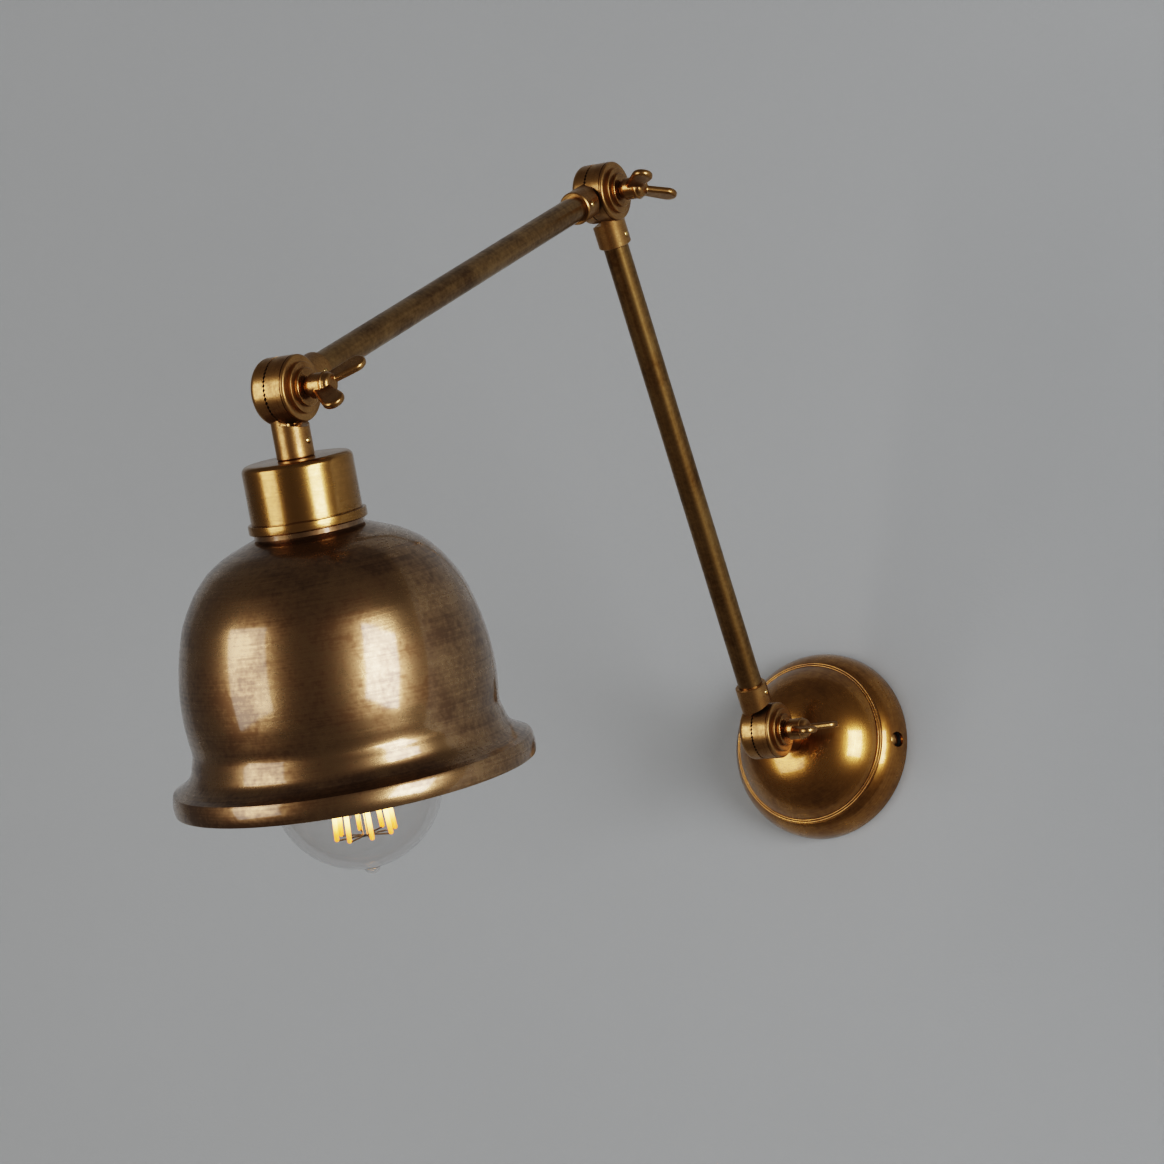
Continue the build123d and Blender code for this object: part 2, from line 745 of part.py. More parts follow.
def bulb_cap():
    """Screw cap of the bulb."""
    cap = rod(bulb_cap_diameter, bulb_cap_start, bulb_cap_end)
    return cap - rod(bulb_cap_diameter - 2 * bulb_cap_wall, bulb_cap_start + bulb_cap_wall, bulb_cap_end)


def bulb_stem():
    """Inner glass stem: flared foot, press and the rod that carries the supports."""
    flare_radius = bulb_cap_diameter / 2 - bulb_cap_wall - bulb_glass_wall
    foot = bulb_cap_end
    return turned(
        Polyline(
            (0, foot),
            (flare_radius, foot),
            (flare_radius, foot + stem_flare_thickness),
            (stem_foot_radius, foot + stem_flare_thickness * 2),
            (stem_press_radius, foot + stem_foot_length),
            (stem_press_radius, foot + stem_press_length),
            (stem_rod_radius, foot + stem_press_length + stem_foot_length / 7),
            (stem_rod_radius, foot + stem_rod_length),
            (0, foot + stem_rod_length),
            close=True,
        )
    )


filament_foot = bulb_cap_end + stem_rod_length
filament_slope = math.degrees(math.asin((filament_foot_radius - filament_top_radius) / filament_length))
filament_top = filament_foot - filament_length * math.cos(math.radians(filament_slope))


def filaments():
    """Eight upright light sticks, a little further apart at their lower ends."""
    stick = Pos(filament_foot_radius, 0, filament_foot) * Rot(0, -filament_slope, 0)
    stick = stick * rod(filament_diameter, -filament_length, 0)
    return Compound(children=around(stick, filament_count))


def support_star(inner_radius, radius, start):
    """A hub on the glass stem with one thin spoke to the end of each light stick."""
    hub = pipe(2 * (inner_radius + support_hub_width), 2 * inner_radius, start, start + support_thickness)
    middle = start + support_thickness / 2
    spoke = Pos(0, 0, middle) * cross_rod(support_wire_diameter, inner_radius + support_hub_width / 2, radius)
    return hub + around(spoke, filament_count) - filaments().solids()


# ---- write every piece -----------------------------------------------------------------------------------------
os.makedirs("parts", exist_ok=True)

foot_half = head_half(collar_reach, tube_diameter)
far_half = nut_half(collar_reach, tube_diameter)
washer = thrust_washer()
bolt = pivot_bolt()
nut = wing_nut()
ear_face = bracket_length / 2
rose_inner = collar_reach + rose_wall
stem_nut_start = rose_inner + stem_washer_thickness
stem_end = stem_nut_start + hex_height + nipple_projection
flex_end = stem_end + flex_tail
head_nipple_end = holder_start + hex_height

write("rose_cover", wall_out * rose_cover())
write("wall_bracket", wall_out * wall_bracket())
write(
    "rose_side_screws",
    Compound(children=[wall_out * Rot(0, 0, turn) * side_screw(ear_face) for turn in (0, 180)]),
)
write("terminal_block", wall_out * terminal_block())
write("earth_screw", wall_out * earth_screw())
write("stem_nipple", to_wall * nipple(collar_reach - socket_depth, stem_end))
write("stem_washer", to_wall * pipe(stem_washer_diameter, nipple_diameter, rose_inner, stem_nut_start))
write("stem_nut", to_wall * hex_nut(stem_nut_start))
write("base_knuckle", to_wall * nut_half(collar_reach, nipple_diameter))
write("base_grub_screw", to_wall * grub_screw(nipple_diameter))
write("base_thrust_washer", at_base * washer)
write("wall_flex", to_wall * rod(flex_diameter, flex_start, flex_end))
write("wall_flex_cores", wall_out * flex_cores(standoff - flex_end))

write("lower_arm_foot", up_lower * foot_half)
write("lower_arm_tube", up_lower * arm_tube(lower_arm_length))
write("lower_arm_head", down_lower * far_half)
write(
    "lower_arm_grub_screws",
    Compound(children=[place * grub_screw(tube_diameter) for place in (up_lower, down_lower)]),
)
write("lower_arm_flex", up_lower * rod(flex_diameter, flex_start, lower_arm_length - flex_start))
write("base_pivot_bolt", at_base * bolt)
write("elbow_thrust_washer", at_elbow * washer)

write("upper_arm_foot", up_upper * foot_half)
write("upper_arm_tube", up_upper * arm_tube(upper_arm_length))
write("upper_arm_head", down_upper * far_half)
write(
    "upper_arm_grub_screws",
    Compound(children=[place * grub_screw(tube_diameter) for place in (up_upper, down_upper)]),
)
write("upper_arm_flex", up_upper * rod(flex_diameter, flex_start, upper_arm_length - flex_start))
write("elbow_pivot_bolt", at_elbow * bolt)
write("head_thrust_washer", at_head * washer)

write("head_knuckle", down_head * head_half(head_collar_reach, nipple_diameter))
write("head_grub_screw", down_head * grub_screw(nipple_diameter))
write("head_pivot_bolt", at_head * bolt)
write("head_nipple", down_head * nipple(head_collar_reach - socket_depth, head_nipple_end))
write("head_nut", down_head * hex_nut(head_nut_start))
write("head_flex", down_head * rod(flex_diameter, flex_start, insert_start))
write("cup_cover", down_head * cup_cover())
write("lampholder_cap", down_head * lampholder_cap())
write("lampholder_skirt", down_head * lampholder_skirt())
write(
    "lampholder_insert",
    down_head * rod(holder_skirt_bore, insert_start, insert_end),
)
write(
    "lampholder_screw_shell",
    down_head
    * pipe(screw_shell_diameter, screw_shell_bore, insert_end, insert_end + screw_shell_height),
)
write("lampholder_contact", down_head * rod(contact_diameter, insert_end, contact_end))
write("shade_ring", down_head * shade_ring())
write("shade", down_head * shade())
write("bulb_contact", down_head * rod(bulb_contact_diameter, contact_end, bulb_cap_start))
write("bulb_cap", down_head * bulb_cap())
write("bulb_glass", down_head * bulb_glass())
write("bulb_stem", down_head * bulb_stem())
write("bulb_filaments", down_head * filaments())
write(
    "filament_supports",
    down_head
    * Compound(
        children=[
            support_star(stem_press_radius, filament_top_radius, filament_top),
            support_star(stem_rod_radius, filament_foot_radius, filament_foot - support_thickness),
        ]
    ),
)

write("base_wing_nut", at_base * swing(base_nut_turn) * nut)
write("elbow_wing_nut", at_elbow * swing(elbow_nut_turn) * nut)
write("head_wing_nut", at_head * swing(head_nut_turn) * nut)
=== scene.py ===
import json
import math

import bmesh
import bpy
from bpy.props import FloatProperty, FloatVectorProperty, IntProperty, PointerProperty
from mathutils import Matrix, Vector


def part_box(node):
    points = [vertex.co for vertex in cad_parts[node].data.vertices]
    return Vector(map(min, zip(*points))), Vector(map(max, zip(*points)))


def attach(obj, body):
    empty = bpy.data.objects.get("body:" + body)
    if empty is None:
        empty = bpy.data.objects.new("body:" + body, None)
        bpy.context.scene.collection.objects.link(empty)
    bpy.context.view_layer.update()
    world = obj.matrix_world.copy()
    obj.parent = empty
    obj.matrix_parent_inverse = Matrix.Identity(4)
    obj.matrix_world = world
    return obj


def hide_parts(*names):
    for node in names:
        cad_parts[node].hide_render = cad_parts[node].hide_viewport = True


bl_info = {
    "name": "Swing Arm Wall Lamp",
    "version": (1, 0, 0),
    "blender": (4, 5, 0),
    "location": "View3D > Sidebar > Wall Lamp",
    "description": "Turned, cast and spun brass pieces of a swing arm wall lamp",
    "category": "Object",
}

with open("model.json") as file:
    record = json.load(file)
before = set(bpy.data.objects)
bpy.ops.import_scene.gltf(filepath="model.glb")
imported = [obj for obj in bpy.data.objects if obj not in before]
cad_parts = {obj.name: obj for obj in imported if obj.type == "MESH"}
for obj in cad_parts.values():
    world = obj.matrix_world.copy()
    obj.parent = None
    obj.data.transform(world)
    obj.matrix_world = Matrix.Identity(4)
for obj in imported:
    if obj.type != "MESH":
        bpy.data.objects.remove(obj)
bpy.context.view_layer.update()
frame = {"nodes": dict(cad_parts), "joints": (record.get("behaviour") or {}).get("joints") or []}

MM = 0.001


# ---- where things are ----------------------------------------------------------------------------
def middle(node):
    """The middle of a node's box."""
    low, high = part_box(node)
    return (low + high) / 2


def lean(start, end):
    """Turn about X from straight up to the line from start to end."""
    return math.atan2(start.y - end.y, end.z - start.z)


def place(origin, turn):
    """Puts local Z along a line that starts at origin and is turned about X."""
    return Matrix.Translation(origin) @ Matrix.Rotation(turn, 4, "X")


def along_pivot(origin):
    """Puts local Z along the pivot direction."""
    return Matrix.Translation(origin) @ Matrix.Rotation(math.pi / 2, 4, "Y")


pivots = {joint["name"]: Vector(joint["pos_m"]) for joint in frame["joints"]}
base, elbow, head = (pivots[name] for name in ("base_pivot", "elbow_pivot", "head_pivot"))
rose_turn = math.pi / 2
lower_turn = lean(base, elbow)
upper_turn = lean(elbow, head)
head_turn = lean(head, middle("lampholder_contact"))
rose_place = place(Vector(), rose_turn)
lower_place = place(base, lower_turn)
upper_place = place(elbow, upper_turn)
head_place = place(head, head_turn)
arm_length = (elbow - base).length / MM


# ---- sizes and colours that a user would change --------------------------------------------------
def linear(colour):
    """An sRGB hex colour as linear red, green and blue."""
    channels = (int(colour[start:start + 2], 16) / 255 for start in (1, 3, 5))
    return tuple(c / 12.92 if c <= 0.04045 else ((c + 0.055) / 1.055) ** 2.4 for c in channels)


def size(name, description, value):
    """A length kept in metres and given in millimetres."""
    return FloatProperty(
        name=name, description=description, default=value * MM, min=0, subtype="DISTANCE", unit="LENGTH"
    )


def tint(name, description, colour):
    """A colour given as sRGB hex."""
    return FloatVectorProperty(
        name=name, description=description, default=linear(colour), min=0, max=1, subtype="COLOR"
    )


def turn(name, description, degrees):
    """An angle given in degrees."""
    return FloatProperty(
        name=name, description=description, default=math.radians(degrees), subtype="ANGLE", unit="ROTATION"
    )


def power(name, description, watts):
    """The power of a light."""
    return FloatProperty(name=name, description=description, default=watts, min=0, unit="POWER")


class LampSizes(bpy.types.PropertyGroup):
    """Sizes of the turned pieces."""

    tube_diameter: size("Tube diameter", "Outside diameter of the arm tubes", 12.7)
    tube_wall: size("Tube wall", "Wall of the arm tubes", 1.0)
    socket_end: size("Socket end", "Distance from a pivot to the end of the tube in its socket", 17.5)
    shade_wall: size("Shade wall", "Thickness of the spun sheet", 1.1)
    bulb_radius: size("Bulb radius", "Radius of the bulb's globe", 37.5)
    glass_wall: size("Glass wall", "Thickness of the bulb's glass", 0.8)
    stick_radius: size("Light stick radius", "Radius of one light stick", 1.1)
    cast_grain: size("Casting mesh", "Mesh size used to blend the wing nuts", 0.26)
    stick_count: IntProperty(name="Light sticks", description="Light sticks in the bulb", default=8, min=1)
    segments: IntProperty(name="Segments", description="Faces around a turned piece", default=192, min=24)


class LampColours(bpy.types.PropertyGroup):
    """Colours of the finishes."""

    rose: tint("Rose", "Warm spun brass of the wall rose", "#b38447")
    rose_deep: tint("Rose, deep", "Darker clouds in the rose", "#80592b")
    cast: tint("Knuckles", "Machined brass of the knuckles", "#b18b5b")
    cast_deep: tint("Knuckles, deep", "Tarnish in the knuckles", "#82603a")
    cup: tint("Cup", "Turned brass of the cup", "#a8804e")
    cup_deep: tint("Cup, deep", "Darker turning lines in the cup", "#8a6838")
    tube: tint("Tube", "Drawn brass of the arm tubes", "#97794e")
    tube_deep: tint("Tube, deep", "Brown streaks in the tubes", "#5e4424")
    patina: tint("Patina", "Lighter olive brass of the shade", "#9a7c5a")
    patina_deep: tint("Patina, deep", "Brown oxide of the shade", "#6a5038")
    glow: tint("Glow", "Light of the filaments", "#ffc46b")


class LampStage(bpy.types.PropertyGroup):
    """Camera, lights and backdrop."""

    azimuth: turn("Azimuth", "Camera direction round the lamp", 31.37)
    elevation: turn("Elevation", "Camera direction above level", -10.35)
    roll: turn("Roll", "Camera turn about its own axis", 0.73)
    camera_place: FloatVectorProperty(
        name="Camera place",
        description="Where the camera stands",
        default=(0.89581, -1.72197, -0.26508),
        subtype="TRANSLATION",
        unit="LENGTH",
    )
    lens: FloatProperty(
        name="Lens", description="Focal length on a 36 mm sensor", default=111.94, subtype="DISTANCE_CAMERA"
    )
    wall: tint("Wall", "Matt grey wall paint", "#939699")
    floor: tint("Floor", "Pale floor", "#d9d7d3")
    right_light: power("Right softbox", "Power of the right softbox", 104.0)
    left_light: power("Left softbox", "Power of the left softbox", 47.0)
    fill_light: power("Fill", "Power of the soft fill on the wall", 8.0)


# ---- nodes ---------------------------------------------------------------------------------------
def add(tree, kind, settings, inputs):
    """Adds one node with its own settings, and gives its inputs values or links."""
    node = tree.nodes.new(kind)
    for field, value in settings.items():
        setattr(node, field, value)
    for key, value in inputs.items():
        socket = node.inputs[key]
        if isinstance(value, bpy.types.NodeSocket):
            tree.links.new(value, socket)
        else:
            socket.default_value = value
    return node


def per(millimetres):
    """Texture scale for a pattern whose features are this far apart."""
    return 1 / (millimetres * MM)


def local_point(tree, placement):
    """Object coordinates moved to a piece's own axis, which becomes local Z."""
    point = add(tree, "ShaderNodeTexCoord", {}, {}).outputs["Object"]
    location, rotation, _ = placement.decompose()
    return add(
        tree,
        "ShaderNodeMapping",
        {"vector_type": "TEXTURE"},
        {"Vector": point, "Location": location, "Rotation": rotation.to_euler()},
    ).outputs["Vector"]


def noise(tree, point, millimetres, detail, low, high):
    """Noise stretched so that its usual range runs from low to high."""
    pattern = {"Vector": point, "Scale": per(millimetres), "Detail": detail, "Roughness": 0.55}
    value = add(tree, "ShaderNodeTexNoise", {}, pattern)
    return add(
        tree,
        "ShaderNodeMapRange",
        {},
        {"Value": value.outputs["Fac"], "From Min": 0.3, "From Max": 0.7, "To Min": low, "To Max": high},
    ).outputs["Result"]


def maths(tree, operation, first, second):
    """One sum."""
    return add(tree, "ShaderNodeMath", {"operation": operation}, {0: first, 1: second}).outputs[0]


def blended(tree, amount, first, second):
    """A colour between two."""
    return add(tree, "ShaderNodeMix", {"data_type": "RGBA"}, {0: amount, 6: first, 7: second}).outputs[2]


def opaque(colour):
    """A colour with full alpha."""
    return (*colour, 1.0)


def surface(name):
    """A new material with its tree and its shader."""
    material = bpy.data.materials.new(name)
    material.use_nodes = True
    tree = material.node_tree
    return material, tree, tree.nodes["Principled BSDF"]


# ---- materials -----------------------------------------------------------------------------------
def brass(
    name, placement, bright, deep, clouds, grain, lines, roughness, spread, relief, lacquer=0.2, wear=0.3
):
    """Lacquered brass: clouded colour, grain or tool lines and an uneven gloss.

    The clouds and the grain are millimetres apart, the relief is millimetres deep, and the smaller
    the wear, the sharper the clouds.
    """
    material, tree, shader = surface(name)
    point = local_point(tree, placement)
    split = add(tree, "ShaderNodeSeparateXYZ", {}, {"Vector": point})
    if lines == "turned":
        flat = add(tree, "ShaderNodeCombineXYZ", {}, {"X": split.outputs["X"], "Y": split.outputs["Y"]})
        length = add(tree, "ShaderNodeVectorMath", {"operation": "LENGTH"}, {0: flat.outputs[0]})
        radius = length.outputs["Value"]
        rings = add(tree, "ShaderNodeCombineXYZ", {}, {"X": radius, "Y": split.outputs["Z"]}).outputs[0]
        fade = {0: point, 1: (0.04, 0.04, 0.04), 2: rings}
        path = add(tree, "ShaderNodeVectorMath", {"operation": "MULTIPLY_ADD"}, fade).outputs[0]
    elif lines == "drawn":
        stretch = {0: point, 1: (1.0, 1.0, 0.02)}
        path = add(tree, "ShaderNodeVectorMath", {"operation": "MULTIPLY"}, stretch).outputs[0]
    else:
        path = point
    fine = noise(tree, path, grain, 4.0, 0.0, 1.0)
    large = noise(tree, point, clouds, 5.0, 0.0, 1.0)
    speck = noise(tree, point, clouds / 9, 6.0, 0.0, 1.0)
    cover = maths(tree, "ADD", maths(tree, "MULTIPLY", large, 0.5), maths(tree, "MULTIPLY", speck, 0.28))
    cover = maths(tree, "ADD", cover, maths(tree, "MULTIPLY", fine, 0.22))
    limits = {"Value": cover, "From Min": 0.5 - wear, "From Max": 0.5 + wear}
    cover = add(tree, "ShaderNodeMapRange", {}, limits).outputs["Result"]
    colour = blended(tree, cover, opaque(bright), opaque(deep))
    gloss = maths(tree, "ADD", maths(tree, "MULTIPLY", cover, spread), roughness)
    height = maths(tree, "ADD", fine, speck)
    bump = add(tree, "ShaderNodeBump", {}, {"Strength": 1.0, "Distance": relief * MM, "Height": height})
    tree.links.new(colour, shader.inputs["Base Color"])
    tree.links.new(gloss, shader.inputs["Roughness"])
    tree.links.new(bump.outputs["Normal"], shader.inputs["Normal"])
    shader.inputs["Metallic"].default_value = 1.0
    shader.inputs["Coat Weight"].default_value = lacquer
    shader.inputs["Coat Roughness"].default_value = 0.09
    return material


def plain(name, colour, roughness, metallic=0.0, spread=0.08, grain=2.0):
    """A small hidden piece: one colour with a slight unevenness."""
    material, tree, shader = surface(name)
    point = add(tree, "ShaderNodeTexCoord", {}, {}).outputs["Object"]
    uneven = noise(tree, point, grain, 4.0, 0.0, 1.0)
    dark = tuple(c * 0.72 for c in linear(colour))
    tree.links.new(blended(tree, uneven, opaque(linear(colour)), opaque(dark)), shader.inputs["Base Color"])
    gloss = maths(tree, "ADD", maths(tree, "MULTIPLY", uneven, spread), roughness)
    tree.links.new(gloss, shader.inputs["Roughness"])
    shader.inputs["Metallic"].default_value = metallic
    return material


def clear_glass():
    """Blown soda-lime glass: clear, hard highlights and dark rims."""
    material, _, shader = surface("clear_blown_glass")
    shader.inputs["Base Color"].default_value = opaque(linear("#f7f6f5"))
    shader.inputs["Roughness"].default_value = 0.0
    shader.inputs["IOR"].default_value = 1.5
    shader.inputs["Transmission Weight"].default_value = 1.0
    return material


def glowing_phosphor(colour, foot, top):
    """Phosphor-coated light stick: white hot in the middle, amber towards its ends."""
    material, tree, shader = surface("glowing_phosphor")
    height = add(tree, "ShaderNodeSeparateXYZ", {}, {"Vector": local_point(tree, head_place)}).outputs["Z"]
    middle_height = (foot + top) / 2 * MM
    away = maths(tree, "ABSOLUTE", maths(tree, "SUBTRACT", height, middle_height), 0.0)
    ends = add(
        tree,
        "ShaderNodeMapRange",
        {"interpolation_type": "SMOOTHSTEP"},
        {"Value": away, "From Min": (foot - top) * 0.2 * MM, "From Max": (foot - top) * 0.47 * MM},
    ).outputs["Result"]
    hue = blended(tree, ends, opaque(linear("#ffd27a")), opaque(linear("#ff8c1c")))
    strength = maths(tree, "SUBTRACT", 5.0, maths(tree, "MULTIPLY", ends, 3.4))
    tree.links.new(hue, shader.inputs["Emission Color"])
    tree.links.new(strength, shader.inputs["Emission Strength"])
    shader.inputs["Base Color"].default_value = opaque(colour)
    shader.inputs["Roughness"].default_value = 0.5
    return material


# ---- outlines, in millimetres of radius and height -----------------------------------------------
def arc(centre, radius, start, end, steps):
    """Points on a circle between two angles in degrees."""
    angles = (math.radians(start + (end - start) * step / steps) for step in range(steps + 1))
    return [(centre[0] + radius * math.cos(a), centre[1] + radius * math.sin(a)) for a in angles]


def bow(first, through, last, steps):
    """Points on the circle through three points."""
    (ax, ay), (bx, by), (cx, cy) = first, through, last
    cross = 2 * (ax * (by - cy) + bx * (cy - ay) + cx * (ay - by))
    squares = [x * x + y * y for x, y in (first, through, last)]
    ox = (squares[0] * (by - cy) + squares[1] * (cy - ay) + squares[2] * (ay - by)) / cross
    oy = (squares[0] * (cx - bx) + squares[1] * (ax - cx) + squares[2] * (bx - ax)) / cross
    start = math.degrees(math.atan2(ay - oy, ax - ox))
    end = math.degrees(math.atan2(cy - oy, cx - ox))
    end = start + (end - start + 180) % 360 - 180
    return arc((ox, oy), math.hypot(ax - ox, ay - oy), start, end, steps)


def flowing(points, steps):
    """A smooth line through points."""
    line = []
    for index in range(len(points) - 1):
        before = Vector(points[max(index - 1, 0)])
        start = Vector(points[index])
        end = Vector(points[index + 1])
        after = Vector(points[min(index + 2, len(points) - 1)])
        run = (end - start).length
        leave = (end - before) * (run / max((end - start).length + (start - before).length, 1e-9))
        reach = (after - start) * (run / max((after - end).length + run, 1e-9))
        for step in range(steps):
            t = step / steps
            point = start * (2 * t**3 - 3 * t**2 + 1) + leave * (t**3 - 2 * t**2 + t)
            point += end * (3 * t**2 - 2 * t**3) + reach * (t**3 - t**2)
            line.append(tuple(point))
    return line + [points[-1]]


def inward(points, distance):
    """A line moved square to itself, towards smaller radius where it runs down."""
    moved = []
    for index, (radius, height) in enumerate(points):
        before = points[max(index - 1, 0)]
        after = points[min(index + 1, len(points) - 1)]
        run = Vector((after[0] - before[0], after[1] - before[1])).normalized()
        moved.append((max(radius - distance * run.y, 0.0), height + distance * run.x))
    return moved


# ---- geometry node trees -------------------------------------------------------------------------
def new_tree(name, inputs):
    """A geometry tree with geometry in and out and its named inputs."""
    tree = bpy.data.node_groups.new(name, "GeometryNodeTree")
    tree.interface.new_socket("Geometry", in_out="OUTPUT", socket_type="NodeSocketGeometry")
    tree.interface.new_socket("Geometry", in_out="INPUT", socket_type="NodeSocketGeometry")
    for label, kind in inputs:
        tree.interface.new_socket(label, in_out="INPUT", socket_type=kind)
    return tree, add(tree, "NodeGroupInput", {}, {}).outputs


def close_tree(tree, geometry, material):
    """Ends a tree in real geometry with its material."""
    real = add(tree, "GeometryNodeRealizeInstances", {}, {"Geometry": geometry})
    made = add(tree, "GeometryNodeSetMaterial", {}, {"Geometry": real.outputs[0], "Material": material})
    add(tree, "NodeGroupOutput", {}, {"Geometry": made.outputs[0]})
    return tree


def turning_tree():
    """Turns an outline about an axis, as on a lathe, and keeps its corners crisp."""
    found = bpy.data.node_groups.get("turned_on_a_lathe")
    if found:
        return found
    tree, given = new_tree(
        "turned_on_a_lathe",
        (("Segments", "NodeSocketInt"), ("Corner", "NodeSocketFloat"), ("Finish", "NodeSocketMaterial")),
    )
    outline = add(tree, "GeometryNodeMeshToCurve", {}, {"Mesh": given["Geometry"]})
    thin = {"Resolution": given["Segments"], "Radius": 1e-6}
    ring = add(tree, "GeometryNodeCurvePrimitiveCircle", {}, thin)
    swept = add(
        tree, "GeometryNodeCurveToMesh", {}, {"Curve": ring.outputs[0], "Profile Curve": outline.outputs[0]}
    )
    whole = add(tree, "GeometryNodeMergeByDistance", {}, {"Geometry": swept.outputs[0], "Distance": 4e-6})
    smooth = add(tree, "GeometryNodeSetShadeSmooth", {}, {"Geometry": whole.outputs[0]})
    angle = add(tree, "GeometryNodeInputMeshEdgeAngle", {}, {})
    sharp = add(
        tree,
        "FunctionNodeCompare",
        {"operation": "GREATER_THAN"},
        {0: angle.outputs["Unsigned Angle"], 1: given["Corner"]},
    )
    crisp = add(
        tree,
        "GeometryNodeSetShadeSmooth",
        {"domain": "EDGE"},
        {"Geometry": smooth.outputs[0], "Selection": sharp.outputs[0], "Shade Smooth": False},
    )
    return close_tree(tree, crisp.outputs[0], given["Finish"])


def ring_tree():
    """Sets copies of one shape round the local Z axis."""
    found = bpy.data.node_groups.get("set_in_a_ring")
    if found:
        return found
    tree, given = new_tree("set_in_a_ring", (("Count", "NodeSocketInt"), ("Finish", "NodeSocketMaterial")))
    spots = add(
        tree, "GeometryNodeMeshLine", {}, {"Count": given["Count"], "Offset": (0.0, 0.0, 0.0)}
    )
    index = add(tree, "GeometryNodeInputIndex", {}, {})
    share = add(tree, "ShaderNodeMath", {"operation": "DIVIDE"}, {0: index.outputs[0], 1: given["Count"]})
    turn = add(tree, "ShaderNodeMath", {"operation": "MULTIPLY"}, {0: share.outputs[0], 1: math.tau})
    spin = add(tree, "ShaderNodeCombineXYZ", {}, {"Z": turn.outputs[0]})
    copies = add(
        tree,
        "GeometryNodeInstanceOnPoints",
        {},
        {"Points": spots.outputs[0], "Instance": given["Geometry"], "Rotation": spin.outputs[0]},
    )
    return close_tree(tree, copies.outputs[0], given["Finish"])


# ---- making meshes -------------------------------------------------------------------------------
def carried(mesh):
    """A temporary object for a mesh."""
    carrier = bpy.data.objects.new(mesh.name, mesh)
    bpy.context.scene.collection.objects.link(carrier)
    return carrier


def evaluated(carrier):
    """The mesh that an object's modifiers give. The object is removed."""
    bpy.context.view_layer.update()
    graph = bpy.context.evaluated_depsgraph_get()
    mesh = bpy.data.meshes.new_from_object(carrier.evaluated_get(graph), depsgraph=graph)
    bpy.data.objects.remove(carrier)
    if not mesh.polygons:
        raise RuntimeError(f"{mesh.name} came out empty")
    return mesh


def through_tree(mesh, tree, values):
    """Runs a mesh through a geometry tree with its inputs set by name."""
    carrier = carried(mesh)
    modifier = carrier.modifiers.new(tree.name, "NODES")
    modifier.node_group = tree
    for item in tree.interface.items_tree:
        if item.in_out == "INPUT" and item.name in values:
            modifier[item.identifier] = values[item.name]
    return evaluated(carrier)


def facing_out(mesh):
    """Turns a closed mesh right side out."""
    work = bmesh.new()
    work.from_mesh(mesh)
    if work.calc_volume(signed=True) < 0:
        bmesh.ops.reverse_faces(work, faces=work.faces)
        work.to_mesh(mesh)
    work.free()
    return mesh


def turned(name, outline, placement, material, corner=24.0, segments=None, ring=True):
    """A piece turned from its outline. A ring's outline closes on itself."""
    count = len(outline)
    edges = [(index, index + 1) for index in range(count - 1)] + ([(count - 1, 0)] if ring else [])
    wire = bpy.data.meshes.new(name)
    wire.from_pydata([(radius * MM, -height * MM, 0) for radius, height in outline], edges, [])
    segments = segments or bpy.context.scene.lamp_sizes.segments
    values = {"Segments": segments, "Corner": math.radians(corner), "Finish": material}
    mesh = through_tree(wire, turning_tree(), values)
    mesh.name = name
    mesh.transform(placement)
    return facing_out(mesh)


def held_in_box(mesh, node):
    """Keeps a smoothed copy inside the box of its CAD node."""
    low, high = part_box(node)
    for vertex in mesh.vertices:
        vertex.co = [min(max(at, least), most) for at, least, most in zip(vertex.co, low, high)]


def cut_out(mesh, tool):
    """A mesh with another one taken out of it."""
    piece = carried(mesh)
    cutter = carried(tool)
    cut = piece.modifiers.new("cut", "BOOLEAN")
    cut.operation = "DIFFERENCE"
    cut.object = cutter
    cut.solver = "EXACT"
    result = evaluated(piece)
    bpy.data.objects.remove(cutter)
    return result


def joined(name, meshes):
    """Several meshes in one."""
    work = bmesh.new()
    for mesh in meshes:
        work.from_mesh(mesh)
    whole = bpy.data.meshes.new(name)
    work.to_mesh(whole)
    work.free()
    return whole


def cutter(name, make, **shape):
    """A closed mesh to cut with, from one of the basic shapes."""
    work = bmesh.new()
    make(work, **shape)
    tool = bpy.data.meshes.new(name)
    work.to_mesh(tool)
    work.free()
    return tool


def domed_screw(name, shank, seat, radius, crown, placement, height, side, material):
    """A domed screw set across an axis, on its +X side where side is 1."""
    quarter = Matrix.Rotation(side * math.pi / 2, 4, "Y")
    across = placement @ Matrix.Translation((0, 0, height * MM)) @ quarter
    dome = bow((radius, seat), (radius / 2, seat + crown * 0.76), (0.0, seat + crown), 8)
    outline = [(0.0, shank[0][1])] + shank + dome
    return turned(name, outline, across, material, corner=40.0, segments=64, ring=False)


def merged_copy(node):
    """A CAD node's mesh with its loose triangles joined."""
    mesh = frame["nodes"][node].data.copy()
    work = bmesh.new()
    work.from_mesh(mesh)
    bmesh.ops.remove_doubles(work, verts=work.verts, dist=2e-6)
    plain_mesh = bpy.data.meshes.new(node)
    work.to_mesh(plain_mesh)
    work.free()
    bpy.data.meshes.remove(mesh)
    return plain_mesh


def shown(name, mesh, body, slot, material, *nodes):
    """Puts a finished mesh on its body in place of CAD nodes."""
    mesh.name = name
    mesh.materials.clear()
    mesh.materials.append(material)
    piece = bpy.data.objects.new(name, mesh)
    bpy.context.scene.collection.objects.link(piece)
    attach(piece, body)
    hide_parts(*nodes)
    return piece


def lathe_piece(name, outline, placement, body, slot, material, node, **how):
    """Turns a piece and puts it on its body in place of its CAD node."""
    shown(name, turned(name, outline, placement, material, **how), body, slot, material, node)


def finished(node, material):
    """Gives a CAD node its real finish."""
    piece = frame["nodes"][node]
    piece.data.materials.clear()
    piece.data.materials.append(material)


def sizes():
    return bpy.context.scene.lamp_sizes


def colours():
    return bpy.context.scene.lamp_colours


